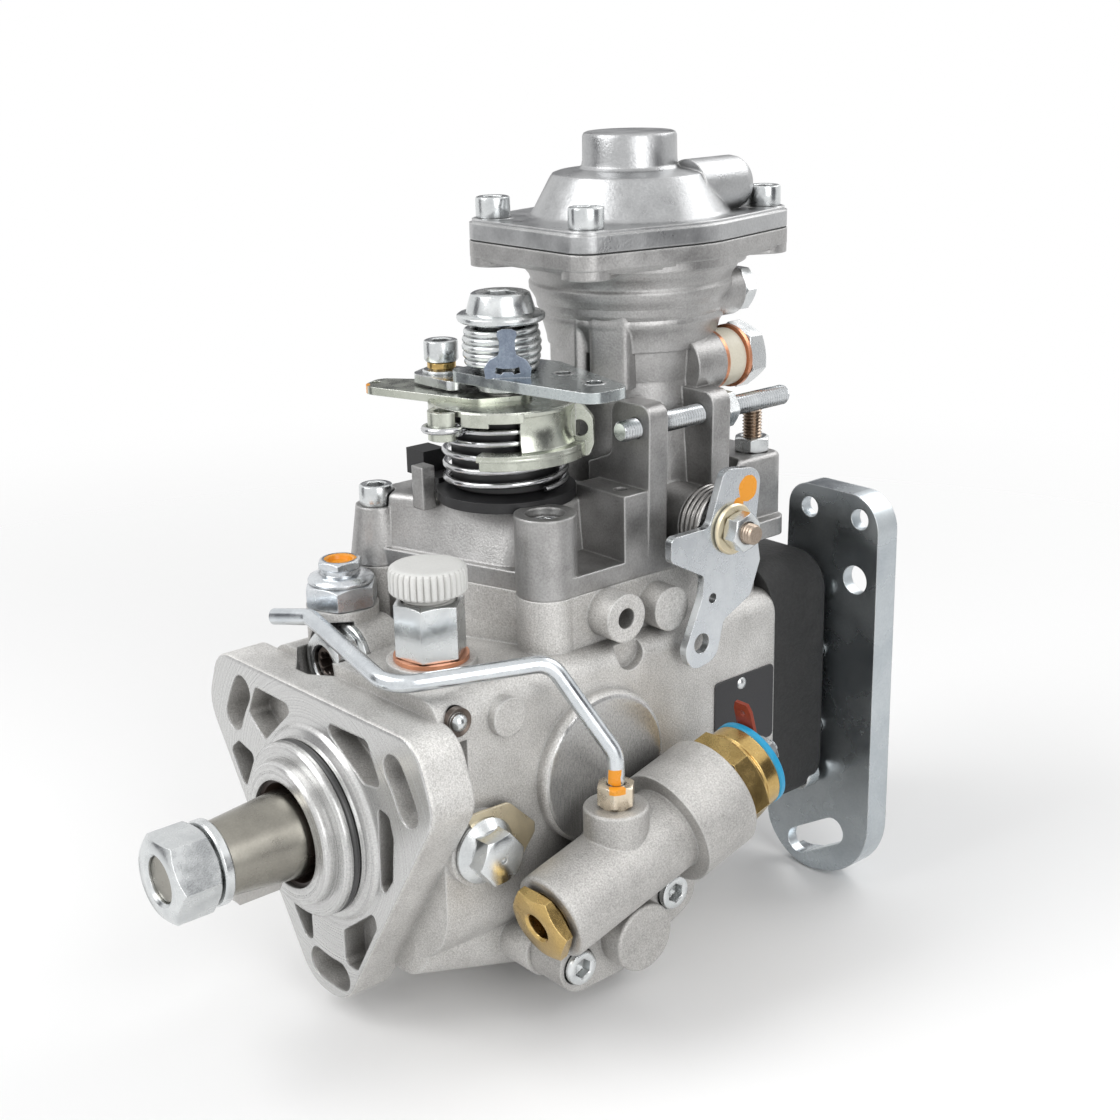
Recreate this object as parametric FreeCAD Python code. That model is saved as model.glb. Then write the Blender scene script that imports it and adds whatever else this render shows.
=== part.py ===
import FreeCAD, Part
import math
import os

V = FreeCAD.Vector

# A distributor type diesel injection pump. Millimetres. The drive axis is Y, the shaft points to -Y,
# +Z is up, and the origin is on the drive axis in the plane of the flange's mounting face.

# Clearances
run_gap = 0.03           # radial, shafts in their bushes and pistons in their bores
seat_gap = 0.02          # radial, pieces that stay put in a bore
free_gap = 0.3           # beside springs and soft pieces
tiny = 0.01              # for picking edges in a plane
wire_sides = 8           # flats round a spring's wire

# Drive shaft and what sits on its nose
shaft_r = 12.5
seal_start = -4.0
taper_big_y = -12.0
taper_length = 21.5
taper_ratio = 0.2
thread_r = 7.0
thread_length = 12.0
key_width = 5.0
key_r = 8.0
key_y = -22.0
washer_t = 3.0
washer_r = 12.0
nut_across = 22.0
nut_length = 13.5
nut_chamfer_r = 11.9

# Flange, pilot and seal bore
flange_t = 13.5
slot_angle = 30.0
slot_r = 47.0
slot_half = 5.5
slot_width = 9.0
pocket_depth = 7.0
spot_face_r = 8.0
spot_face_depth = 8.0
pilot_r = 25.0
pilot_reach = 8.0
groove_y = -5.6
groove_width = 2.6
ring_wire_r = 1.2
collar_r = 20.5
collar_reach = 11.5
seal_bore_r = 15.5
seal_width = 7.0
boss_r = 28.5
boss_reach = 1.2

# Feed pump, from the front
bush_y = 2.0
bush_length = 32.0
bush_wall = 2.0
feed_y = 36.0
feed_width = 16.0
liner_r = 29.0
liner_bore_r = 21.5
liner_offset = 2.5
rotor_r = 18.5
vane_count = 4
vane_t = 3.0
plate_t = 4.0

# Governor drive
gear_module = 1.75
drive_teeth = 36
governor_teeth = 22
gear_width = 6.0
gear_gap = 4.0
governor_x = -10.0
governor_shaft_r = 4.0
cage_length = 15.0
cage_clear = 0.9
flyweight_count = 4
sleeve_r = 7.5
sleeve_length = 16.4
pivot_z = 28.0
lever_reach = 5.5          # the pivot behind the lever's face, and the collar behind the pivot
pivot_r = 3.0

# Cam drive
ring_r = 33.6
ring_bore_r = 19.0
ring_width = 15.0
roller_count = 3
roller_r = 5.0
roller_length = 9.0
roller_track_r = 25.5
disc_r = 17.0
disc_t = 5.0
claw_width = 10.0
claw_height = 4.5
cam_r = 29.5
cam_lift = 2.2
cam_count = 6
cam_t = 7.0
cam_gap = 0.1
plunger_r = 6.0
foot_r = 11.0
foot_t = 4.0
bridge_t = 2.5
bridge_reach = 21.0
bridge_r = 11.0
collar_room = 8.2
collar_w = 8.0
collar_out_r = 9.5
return_r = 4.5
return_wire_r = 1.0

# Housing
side_x = 41.0
body_top = 44.0
body_bottom = -43.0
seam_z = 59.0
deck_left = -39.5
deck_right = 35.0
deck_front_y = 38.9
deck_slant = 0.30
side_boss = 4.0
side_window_r = 22.5
side_window_y = 67.0
side_window_z = 10.0
window_left = -31.5
window_right = 18.5
hollow_right = 11.5
window_inset = 12.0
timing_y = 76.0
timing_z = -43.0
timing_r = 9.0
timing_wall = 5.5
timing_pin_r = 3.0
lobe_bottom = -57.5

# Distributor head at the rear
head_half = 40.0
head_top = 50.0
head_bottom = -33.0
head_t = 27.0
spigot_length = 14.0
valve_count = 6
valve_circle_r = 21.0
valve_r = 7.0
valve_length = 33.0
centre_plug_r = 8.5
bracket_t = 4.0
bracket_lip = 9.0

# Governor cover
cover_top = 80.0
cover_flange_t = 5.5
cover_wall = 4.5
corner_boss_r = 8.7
cover_overhang = 12.0
left_screw_x = -32.0
left_screw_y = 46.5
right_screw_x = 26.5
right_screw_y = 62.2
left_screw_rise = 2.0
left_boss_r = 6.2
right_boss_top = 82.0
tapped_block_z = 83.8
tapped_block_reach = 14.0
rear_screw_x = 25.0
rear_screw_inset = 8.0
lug_reach = 23.0
lug_step = 25.0
lug_w = 7.0
lug_top_z = 108.0
stud_base_z = 83.5
stud_x = 23.0
stud_inset = 4.0

# Boost pressure unit on the cover
boost_inset = 20.5
boost_seam = 150.0
bowl_r = 34.0
ear_step = 6.5
bowl_flange_t = 7.0
lid_flange_t = 5.0
dome_step = 6.0
dome_top = 169.5
cap_r = 14.0
cap_top = 179.5
neck_step = 11.0
boost_pin_r = 4.0
port_r = 8.0
port_bore_r = 4.5
port_x = 10.0
port_reach = 29.5
diaphragm_t = 1.5
boost_spring_l = 30.0
overflow_x = 20.0
overflow_reach = 11.5
overflow_z = 113.5
boost_plug_x = 18.0
boost_plug_reach = 22.5
boost_plug_z = 133.0
port_z = 162.0

# Throttle shaft and levers
throttle_y = 70.0
throttle_shaft_r = 5.0
seat_r = 20.0
drum_r = 14.0
coil_r = 17.3
coil_wire_r = 1.2
coil_base = 84.5
coil_height = 20.0
coil_turns = 5
skirt_r = 21.5
skirt_t = 1.9
skirt_low_z = 92.0
bracket_z = 106.0
lever_z = 111.5
lever_t = 3.0
upper_coil_r = 9.5
nut_flange_z = 131.0
throttle_nut_h = 8.0
clamp_x = -22.0
clamp_y = 65.0
screw_lug_x = 30.0
screw_lug_z = 101.0
screw_r = 3.0

# Stop lever on the +X side
stop_inset = 26.0
stop_z = 71.0
stop_r = 5.0
stop_plate_x = 45.0
stop_plate_t = 2.5

# Cold-start device on the +X side
cold_x = 62.0
cold_y = 55.0
cold_z = -9.5
cold_tilt = 15.3
cold_r = 12.5
cold_big_r = 17.0
cold_front = -25.0
cold_rear = 39.0

# Pipe and fittings in front of the deck
pipe_r = 2.4
union_z = 9.0
inlet_x = 15.0
inlet_y = 30.0
inlet_base = 45.2
copper_t = 1.2
vent_x = -25.0
vent_y = 28.0
vent_base = 51.5
regulator_x = -17.0
regulator_y = 25.0
regulator_z = 38.0
regulator_scoop_r = 11.0
regulator_bore_r = 7.0
side_plug_y = 23.2
side_plug_z = 0.0
ball_plug_r = 4.0
ball_plug_y = 18.5
ball_plug_z = 37.5
tapped_boss_y = 76.5
tapped_boss_z = 52.0

# Fasteners
m6_head_r = 5.0
m6_head_h = 6.0
m6_r = 3.0
m6_hex = 5.0
cold_screw_l = 24.0


def place(axis, u, v, w):
    """A point from the two coordinates across an axis and the one along it."""
    if axis == "X":
        return V(w, u, v)
    if axis == "Y":
        return V(u, w, v)
    return V(u, v, w)


def cyl(axis, r, w0, w1, u=0.0, v=0.0):
    return Part.makeCylinder(r, w1 - w0, place(axis, u, v, w0), place(axis, 0, 0, 1))


def cone(axis, r0, r1, w0, w1, u=0.0, v=0.0):
    return Part.makeCone(r0, r1, w1 - w0, place(axis, u, v, w0), place(axis, 0, 0, 1))


def tube(axis, r, bore, w0, w1, u=0.0, v=0.0):
    return cyl(axis, r, w0, w1, u, v).cut(cyl(axis, bore, w0, w1, u, v))


def box(x0, x1, y0, y1, z0, z1):
    return Part.makeBox(x1 - x0, y1 - y0, z1 - z0, V(x0, y0, z0))


def polar(r, degrees, u=0.0, v=0.0):
    return u + r * math.cos(math.radians(degrees)), v + r * math.sin(math.radians(degrees))


def hexagon(axis, across, w0, w1, u=0.0, v=0.0, turn=0.0):
    """A hexagonal bar, by its width across flats."""
    corner = across / math.sqrt(3)
    ring = [place(axis, *polar(corner, 60 * i + turn, u, v), w0) for i in range(7)]
    return Part.Face(Part.makePolygon(ring)).extrude(place(axis, 0, 0, w1 - w0))


def outline(axis, points, w):
    """A closed wire of straight runs with round corners, from (u, v, corner radius) points."""
    flat = [V(u, v, 0) for u, v, r in points]
    edges = []
    last = None
    first = None
    for i, (u, v, r) in enumerate(points):
        here = flat[i]
        back = (flat[i - 1] - here).normalize()
        ahead = (flat[(i + 1) % len(flat)] - here).normalize()
        half = back.getAngle(ahead) / 2
        start = here + back * (r / math.tan(half))
        end = here + ahead * (r / math.tan(half))
        middle = here + (back + ahead).normalize() * (r / math.sin(half) - r)
        ends = [place(axis, q.x, q.y, w) for q in (start, middle, end)]
        if last is not None:
            edges.append(Part.makeLine(last, ends[0]))
        else:
            first = ends[0]
        edges.append(Part.Arc(*ends).toShape())
        last = ends[2]
    edges.append(Part.makeLine(last, first))
    return Part.Wire(edges)


def prism(axis, points, w0, w1):
    return Part.Face(outline(axis, points, w0)).extrude(place(axis, 0, 0, w1 - w0))


def drafted(axis, points0, w0, points1, w1):
    """A solid between two outlines with the same number of corners."""
    return Part.makeLoft([outline(axis, points0, w0), outline(axis, points1, w1)], True, True)


def turned(axis, profile, u=0.0, v=0.0):
    """A solid of revolution from (radius, height) points."""
    ring = [place(axis, u + r, v, w) for r, w in profile]
    face = Part.Face(Part.makePolygon(ring + ring[:1]))
    return face.revolve(place(axis, u, v, 0), place(axis, 0, 0, 1), 360)


def rim(shape, axis, value):
    """The edges of a shape in the plane where the coordinate along the axis has that value."""
    low, high = {"X": ("XMin", "XMax"), "Y": ("YMin", "YMax"), "Z": ("ZMin", "ZMax")}[axis]
    flat = [e for e in shape.Edges if abs(getattr(e.BoundBox, low) - value) < tiny]
    return [e for e in flat if abs(getattr(e.BoundBox, high) - value) < tiny]


def soft(shape, axis, value, radius):
    return shape.makeFillet(radius, rim(shape, axis, value))


def all_of(shapes):
    """One solid from pieces that touch or overlap."""
    return shapes[0].multiFuse(shapes[1:]).removeSplitter()


def group(shapes):
    return Part.makeCompound(shapes)


def coil(axis, r, wire_r, w0, w1, turns, u=0.0, v=0.0):
    """A spring of round wire, whose outer ends lie at w0 and w1."""
    height = w1 - w0 - 2 * wire_r
    path = Part.makeHelix(height / turns, height, r)
    corners = [V(r + u, 0, v) for u, v in (polar(wire_r, 360 / wire_sides * i) for i in range(wire_sides))]
    section = Part.makePolygon(corners + corners[:1])
    wire = Part.Wire(path).makePipeShell([section], True, True)
    if axis == "Y":
        wire.rotate(V(0, 0, 0), V(1, 0, 0), -90)
    if axis == "X":
        wire.rotate(V(0, 0, 0), V(0, 1, 0), 90)
    wire.translate(place(axis, u, v, w0 + wire_r))
    return wire


def socket_screw(axis, way, seat, length, u, v):
    """An M6 socket head screw: its head rises from the seat, its shank goes the other way."""
    head = cyl(axis, m6_head_r, min(seat, seat + way * m6_head_h), max(seat, seat + way * m6_head_h), u, v)
    shank = cyl(axis, m6_r, min(seat, seat - way * length), max(seat, seat - way * length), u, v)
    top = seat + way * m6_head_h
    socket = hexagon(axis, m6_hex, min(top, top - way * 3.0), max(top, top - way * 3.0), u, v)
    return all_of([head, shank]).cut(socket)


def hex_nut(axis, across, w0, w1, bore, u, v):
    return hexagon(axis, across, w0, w1, u, v).cut(cyl(axis, bore, w0, w1, u, v))


# Places that follow from the sizes above
taper_small_y = taper_big_y - taper_length
taper_small_r = shaft_r - taper_length * taper_ratio / 2
washer_y = taper_small_y - washer_t
nut_y = washer_y - nut_length
bush_r = shaft_r + bush_wall
plate_y = feed_y + feed_width
gear_y = plate_y + plate_t + gear_gap
drive_pitch_r = gear_module * drive_teeth / 2
governor_pitch_r = gear_module * governor_teeth / 2
governor_z = math.sqrt((drive_pitch_r + governor_pitch_r) ** 2 - governor_x ** 2)
gear_end = gear_y + gear_width
shaft_end_y = gear_end + 2.0
disc_end_y = shaft_end_y + claw_height + disc_t + 0.4
ring_y = timing_y - ring_width / 2
roller_y = ring_y + ring_width
cam_y = roller_y + roller_r + cam_gap
cam_base_y = cam_y + cam_lift
foot_y = cam_base_y + cam_t
bridge_y = foot_y + foot_t + run_gap
chamber_r = ring_r + run_gap
cage_r = drive_pitch_r + governor_pitch_r - ring_r - cage_clear
sleeve_y = gear_end + cage_length + 1.0
lever_y = sleeve_y + sleeve_length + 0.4
pivot_y = lever_y + lever_reach
collar_y = pivot_y + lever_reach
ball_y = collar_y + collar_w / 2
spigot_y = collar_y + collar_w + collar_room
body_rear_y = spigot_y + spigot_length
window_rear = body_rear_y - window_inset
head_rear_y = body_rear_y + head_t
bracket_y = head_rear_y + 1.0
cover_rear_y = body_rear_y + cover_overhang
rear_screw_y = body_rear_y - rear_screw_inset
stud_y = cover_rear_y - stud_inset
stop_y = body_rear_y - stop_inset
lug_y0 = throttle_y + lug_reach
lug_y1 = lug_y0 + lug_step
boost_y = body_rear_y - boost_inset
overflow_y = boost_y + overflow_reach
boost_plug_y = boost_y + boost_plug_reach
port_end_y = boost_y + port_reach
bowl_ear_r = bowl_r + ear_step
dome_r = bowl_r - dome_step
neck_r = bowl_r - neck_step
throttle_nut_top = nut_flange_z + throttle_nut_h
ball_z = collar_out_r + 1.3
flange_top_z = seam_z + cover_flange_t
hollow_top_z = cover_top - cover_wall
spring_pin_z = hollow_top_z - 3.5
seat_z = cover_top + free_gap
boost_lid = boost_seam + diaphragm_t
lid_top = boost_lid + lid_flange_t
timing_wall_x = side_x - 2.0
cold_base_x = side_x + side_boss
cold_seat_x = cold_x - 8.0


def deck_points(rear, inset):
    """Plan of the top deck and of the cover's flange on it: its front is slanted."""
    front_right = deck_front_y + deck_slant * (deck_right - deck_left)
    return [(deck_left + inset, deck_front_y + inset, 8), (deck_right - inset, front_right + inset, 5),
            (deck_right - inset, rear - inset, 5), (deck_left + inset, rear - inset, 5)]


def kidney(r, middle, half_angle, width, w0, w1):
    """A slot along an arc about the drive axis, with round ends."""
    inner, outer = r - width / 2, r + width / 2
    low, high = middle - half_angle, middle + half_angle
    end = math.degrees(width / 2 / r)
    stops = [(inner, low), (inner, middle), (inner, high), (r, high + end), (outer, high), (outer, middle),
             (outer, low), (r, low - end), (inner, low)]
    p = [place("Y", *polar(radius, angle), w0) for radius, angle in stops]
    arcs = [Part.Arc(*p[i:i + 3]).toShape() for i in (0, 2, 4, 6)]
    return Part.Face(Part.Wire(arcs)).extrude(place("Y", 0, 0, w1 - w0))


def flange():
    """Triangular flange with blind pockets between its ribs."""
    triangle = [(-51, 37, 10), (-58.5, 19, 12), (-11, -55.5, 14), (7, -55.5, 14), (55, 20, 10),
                (48, 39, 10)]
    plate = soft(prism("Y", triangle, 0, flange_t), "Y", 0, 1.0)
    pockets = [[(-30, 31.5, 2), (-9, 31.5, 2), (-26.5, 16, 2), (-35, 22, 2)],
               [(-47, 7, 2), (-42, 11, 1.5), (-33, 9, 2), (-40, -4, 1.5)],
               [(3, 32, 2), (26, 33, 2), (31.5, 21, 2), (23.5, 19.5, 2)],
               [(29.5, 15, 1.5), (34.5, 14, 1.5), (36, 8, 2), (34.5, -5, 2), (28.5, -13, 1.5)],
               [(-19, -31, 2), (-8, -30.5, 2), (-8, -41, 2), (-12, -41, 2)],
               [(8.5, -30.5, 2), (24.5, -18.5, 1.5), (25.5, -23, 1.5), (14.5, -41, 2), (8.5, -41, 2)]]
    for corners in pockets:
        plate = plate.cut(prism("Y", corners, -1, pocket_depth))
    return plate


def pump_housing():
    """Cast body with flange, nose, top deck, timing lobe and the bosses on its +X side."""
    section = [(-side_x + 1, body_top - 4, 9), (-side_x + 1, body_bottom + 14, 20), (-18, body_bottom, 16),
               (20, body_bottom, 16), (side_x, body_bottom + 16, 20), (side_x, body_top, 7)]
    body = prism("Y", section, flange_t - 1, body_rear_y)
    deck = prism("Z", deck_points(body_rear_y, 0), body_top - 8, seam_z)
    bosses = [cyl("Z", corner_boss_r, body_top - 12, seam_z, left_screw_x, left_screw_y),
              cyl("Z", corner_boss_r, body_top - 2, seam_z, right_screw_x, right_screw_y)]
    nose = turned("Y", [(0, -collar_reach), (collar_r - 1, -collar_reach), (collar_r, 1 - collar_reach),
                        (collar_r, -pilot_reach), (pilot_r - 1, -pilot_reach), (pilot_r, 1 - pilot_reach),
                        (pilot_r, -boss_reach - 1), (boss_r - 1, -boss_reach), (boss_r, 0),
                        (boss_r, flange_t),
                        (0, flange_t)])
    sump_front = [(-33, -20, 6), (33, -20, 6), (29, body_bottom - 1, 12), (-29, body_bottom - 1, 12)]
    sump_rear = [(-37, -20, 6), (37, -20, 6), (34, lobe_bottom, 16), (-34, lobe_bottom, 16)]
    sump = [drafted("Y", sump_front, flange_t - 1, sump_rear, timing_y - 16),
            prism("Y", sump_rear, timing_y - 16, timing_y + 18)]
    lobe = cyl("X", timing_r + timing_wall, -side_x - 4, side_x + 3, timing_y, timing_z)
    window = soft(cyl("X", side_window_r, side_x - 4, cold_base_x, side_window_y, side_window_z), "X",
                  cold_base_x, 2.0)
    for y, z, r, rise in side_bosses():
        bosses.append(cyl("X", r, side_x - 6, side_x + rise, y, z))
    for y, z in cold_screw_places():
        bosses.append(cyl("X", 8.0, 12, cold_base_x, y, z))
    bosses += [cyl("Y", 10.0, regulator_y, regulator_y + 12, regulator_x, regulator_z),
               cyl("Z", 12.5, body_top - 6, inlet_base, inlet_x, inlet_y),
               cyl("Z", 10.5, body_top - 10, vent_base, vent_x, vent_y)]
    shape = all_of([body, deck, nose, lobe, window, flange()] + sump + bosses)
    for cut in housing_cuts():
        shape = shape.cut(cut)
    return shape


def side_bosses():
    """Round bosses on the +X side: (y, z, radius, height) of each."""
    return [(tapped_boss_y, tapped_boss_z, 7.0, 2.5), (95, 50, 6.5, 1.5), (34, 35, 5.5, 3.0),
            (side_plug_y, side_plug_z, 10.5, 3.0)]


def housing_cuts():
    """Bores, chambers and threaded holes of the housing."""
    chamber = cyl("Y", chamber_r, plate_y + plate_t, body_rear_y + 1)
    window = box(window_left, window_right, gear_y - 0.8, window_rear, 0, seam_z + 1)
    cuts = [cyl("Y", seal_bore_r, -collar_reach - 1, seal_start + 1.0),
            cyl("Y", shaft_r + 0.5, seal_start, bush_y),
            cyl("Y", bush_r + seat_gap, bush_y, feed_y), cyl("Y", liner_r + seat_gap, feed_y,
                                                             plate_y + plate_t),
            chamber, window, tube("Y", pilot_r + 1, pilot_r - 2.5, groove_y, groove_y + groove_width)]
    cuts.append(cone("Y", 3.0, regulator_scoop_r, pocket_depth + 1, flange_t, regulator_x, regulator_z))
    cuts.append(cyl("Y", regulator_scoop_r, flange_t, regulator_y, regulator_x, regulator_z))
    cuts.append(cyl("Y", regulator_bore_r + seat_gap, regulator_y - 1, regulator_y + 9, regulator_x,
                    regulator_z))
    cuts.append(cyl("X", timing_r + run_gap, -side_x - 5, timing_wall_x, timing_y, timing_z))
    cuts.append(box(-11, 4.5, timing_y - 4, timing_y + 4, timing_z, 0))
    for middle in (180 - slot_angle, slot_angle, -90):
        cuts.append(kidney(slot_r, middle, math.degrees(slot_half / slot_r), slot_width, -1, flange_t + 1))
        cuts.append(cyl("Y", spot_face_r, flange_t, flange_t + spot_face_depth, *polar(slot_r, middle)))
    cuts.append(cyl("Y", governor_shaft_r + seat_gap, gear_y - 9, gear_y, governor_x, governor_z))
    cuts.append(cyl("X", pivot_r + seat_gap, window_left - 4, window_right + 4, pivot_y, pivot_z))
    cuts.append(cyl("X", 3.0, side_x - 4, side_x + 4, tapped_boss_y, tapped_boss_z))
    cuts.append(cyl("X", 5.0, side_x - 3, side_x + 2, 80.5, 40))
    cuts.append(cyl("X", ball_plug_r + seat_gap, side_x - 6, side_x + 1, ball_plug_y, ball_plug_z))
    for x, y in cover_screw_places():
        cuts.append(cyl("Z", m6_r + seat_gap, seam_z - 14, seam_z + 1, x, y))
    for x, z in head_screw_places():
        cuts.append(cyl("Y", m6_r + seat_gap, body_rear_y - 14, body_rear_y + 1, x, z))
    for y, z in cold_screw_places():
        cuts.append(cyl("X", m6_r + seat_gap, cold_seat_x - cold_screw_l - 1, cold_base_x + 1, y, z))
    return cuts


def cover_screw_places():
    return [(left_screw_x, left_screw_y), (right_screw_x, right_screw_y),
            (rear_screw_x, rear_screw_y), (-rear_screw_x - 5, rear_screw_y)]


def cover_screw_seat(x):
    """Height of the face under a cover screw's head: one corner stands higher."""
    return cover_top - m6_head_h + (left_screw_rise if x == left_screw_x else 0)


def head_screw_places():
    return [(side * (head_half - 6.5), z) for side in (-1, 1) for z in (head_top - 13, head_bottom + 7)]


def cold_screw_places():
    return [(44.0, -38.0), (79.5, -28.0)]


def shaft_pieces():
    """Drive shaft with taper and thread, its key, nut and washer, seal and bush."""
    profile = [(0, washer_y - thread_length), (thread_r - 0.8, washer_y - thread_length),
               (thread_r, washer_y - thread_length + 0.8), (thread_r, taper_small_y),
               (taper_small_r, taper_small_y),
               (shaft_r, taper_big_y), (shaft_r, shaft_end_y), (0, shaft_end_y)]
    disc = cyl("X", key_r, -key_width / 2, key_width / 2, key_y, 1.0 - taper_small_r)
    shaft = turned("Y", profile).cut(disc)
    for side in (-1, 1):
        claw = box(-claw_width / 2, claw_width / 2, shaft_end_y - 1, shaft_end_y + claw_height, 4.5,
                   shaft_r - 0.5)
        claw.rotate(V(0, 0, 0), V(0, 1, 0), 90 * side)
        shaft = shaft.fuse(claw)
    key = disc.common(box(-key_width, key_width, key_y - key_r, key_y + key_r, -taper_small_r - 4.0, 0))
    key = key.cut(cyl("Y", taper_small_r - 4.0, key_y - key_r - 1, key_y + key_r + 1))
    washer = tube("Y", washer_r, thread_r + 0.2, washer_y, taper_small_y)
    nut = hexagon("Y", nut_across, nut_y, washer_y)
    nut = nut.common(cone("Y", nut_chamfer_r - 1.2, nut_chamfer_r + nut_length, nut_y, washer_y))
    nut = nut.cut(cyl("Y", thread_r, nut_y - 1, washer_y + 1))
    seal = tube("Y", seal_bore_r, shaft_r + 0.05, seal_start - seal_width + 1, seal_start + 1)
    seal = seal.cut(cone("Y", seal_bore_r - 0.8, shaft_r + 0.4, seal_start - seal_width, seal_start - 1.5))
    bush = tube("Y", bush_r, shaft_r + run_gap, bush_y, bush_y + bush_length)
    ring = Part.makeTorus(pilot_r - ring_wire_r + 0.1, ring_wire_r, V(0, groove_y + groove_width / 2, 0),
                          V(0, 1, 0))
    return {"drive_shaft": shaft, "shaft_key": key, "shaft_nut": group([nut, washer]),
            "shaft_seal": seal, "shaft_bush": bush, "pilot_o_ring": ring}


def feed_pump():
    """Vane pump round the shaft: eccentric liner, rotor with four vanes, cover plate."""
    liner = cyl("Y", liner_r, feed_y, plate_y).cut(cyl("Y", liner_bore_r, feed_y, plate_y, liner_offset))
    rotor = tube("Y", rotor_r, shaft_r, feed_y + 0.05, plate_y - 0.05)
    vanes = []
    for i in range(vane_count):
        angle = 360 / vane_count * i + 45
        reach = liner_offset * math.cos(math.radians(angle))
        reach += math.sqrt(liner_bore_r ** 2 - (liner_offset * math.sin(math.radians(angle))) ** 2)
        tip = min(reach, liner_bore_r - liner_offset) - 0.1
        slot = box(shaft_r + 0.8, rotor_r + 1, feed_y, plate_y, -vane_t / 2 - seat_gap,
                   vane_t / 2 + seat_gap)
        vane = box(shaft_r + 1.0, tip, feed_y + 0.1, plate_y - 0.1, -vane_t / 2, vane_t / 2)
        for piece in (slot, vane):
            piece.rotate(V(0, 0, 0), V(0, 1, 0), -angle)
        rotor = rotor.cut(slot)
        vanes.append(vane)
    plate = tube("Y", liner_r, shaft_r + free_gap, plate_y, plate_y + plate_t)
    return {"feed_pump_liner": liner, "feed_pump_rotor": rotor, "feed_pump_vanes": group(vanes),
            "feed_pump_plate": plate}


def gear(teeth, w0, w1, bore, turn=0.0):
    """A spur gear about Y, with straight-sided teeth a little thinner than their gaps."""
    pitch_r = gear_module * teeth / 2
    pitch_angle = 360 / teeth
    levels = [(pitch_r - 1.2 * gear_module, 0.36), (pitch_r, 0.235), (pitch_r + 0.95 * gear_module, 0.12)]
    points = []
    for i in range(teeth):
        middle = pitch_angle * i + turn
        rising = [polar(r, middle - share * pitch_angle) for r, share in levels]
        falling = [polar(r, middle + share * pitch_angle) for r, share in levels[::-1]]
        points += [V(u, w0, v) for u, v in rising + falling]
    face = Part.Face(Part.makePolygon(points + points[:1]))
    return face.extrude(V(0, w1 - w0, 0)).cut(cyl("Y", bore, w0 - 1, w1 + 1))


def governor():
    """Drive gear, governor gear with its flyweight cage, flyweights and sleeve."""
    mesh = math.degrees(math.atan2(governor_z, governor_x))
    drive = gear(drive_teeth, gear_y, gear_end, shaft_r, mesh)
    half_pitch = 180 / governor_teeth
    driven = gear(governor_teeth, gear_y, gear_end, governor_shaft_r + run_gap, mesh + 180 + half_pitch)
    driven.translate(V(governor_x, 0, governor_z))
    cage_end = gear_end + cage_length
    web = tube("Y", cage_r, governor_shaft_r + 4.5, gear_end, cage_end, governor_x, governor_z)
    hub = tube("Y", governor_shaft_r + 5.0, governor_shaft_r + run_gap, gear_end, gear_end + 1.8,
               governor_x, governor_z)
    weights = []
    for i in range(flyweight_count):
        angle = 360 / flyweight_count * i + 45
        pocket = box(governor_shaft_r + 3.3, cage_r + 1, gear_end + 2, cage_end + 1, -6.5, 6.5)
        weight = box(governor_shaft_r + 4.6, cage_r, gear_end + 2.3, cage_end - 0.5, -6.2, 6.2)
        weight = weight.common(cyl("Y", cage_r - 0.6, gear_end, cage_end))
        for piece in (pocket, weight):
            piece.rotate(V(0, 0, 0), V(0, 1, 0), -angle)
            piece.translate(V(governor_x, 0, governor_z))
        web = web.cut(pocket)
        weights.append(weight)
    sleeve_end = sleeve_y + sleeve_length
    nose = Part.makeSphere(sleeve_r, V(governor_x, sleeve_end - sleeve_r, governor_z))
    sleeve = all_of([cyl("Y", sleeve_r, sleeve_y, sleeve_end - sleeve_r, governor_x, governor_z), nose])
    sleeve = sleeve.cut(cyl("Y", governor_shaft_r + run_gap, sleeve_y - 1, sleeve_end - 3, governor_x,
                            governor_z))
    return {"drive_gear": drive, "governor_gear_cage": all_of([driven, web, hub]),
            "flyweights": group(weights), "governor_sleeve": sleeve}


def governor_lever():
    """Lever from the spring's eye past its pivot to the ball in the collar, and the fixed shafts."""
    top_z = hollow_top_z - 2.0
    left, right = governor_x - 7, 6
    plate = prism("Y", [(left, pivot_z, 2), (right, pivot_z, 2), (right - 1, top_z, 3), (-10, top_z, 3)],
                  lever_y, lever_y + 3)
    plate = plate.cut(cyl("Y", 1.6, lever_y - 1, lever_y + 4, 0, spring_pin_z))
    boss = cyl("X", 4.8, left, right, pivot_y, pivot_z)
    arm = box(-4, 4, pivot_y, ball_y + 2.5, pivot_z - 3, pivot_z + 3)
    finger = box(-2.5, 2.5, ball_y - 2.5, ball_y + 2.5, ball_z + 4, pivot_z)
    neck = cyl("Z", 1.4, ball_z, ball_z + 5, 0, ball_y)
    ball = turned("Z", [(0, -2.2), (1.5, -1.9), (2.3, -0.7), (2.3, 0.7), (1.5, 1.9), (0, 2.2)], 0, ball_y)
    ball.translate(V(0, 0, ball_z))
    lever = all_of([plate, boss, arm, finger, neck, ball]).cut(cyl("X", pivot_r + run_gap, left, right,
                                                                   pivot_y, pivot_z))
    pin = cyl("X", pivot_r, window_left - 4, window_right + 4, pivot_y, pivot_z)
    shaft = cyl("Y", governor_shaft_r, gear_y - 9, sleeve_y + 8, governor_x, governor_z)
    return {"governor_lever": lever, "governor_shafts": group([shaft, pin])}


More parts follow.
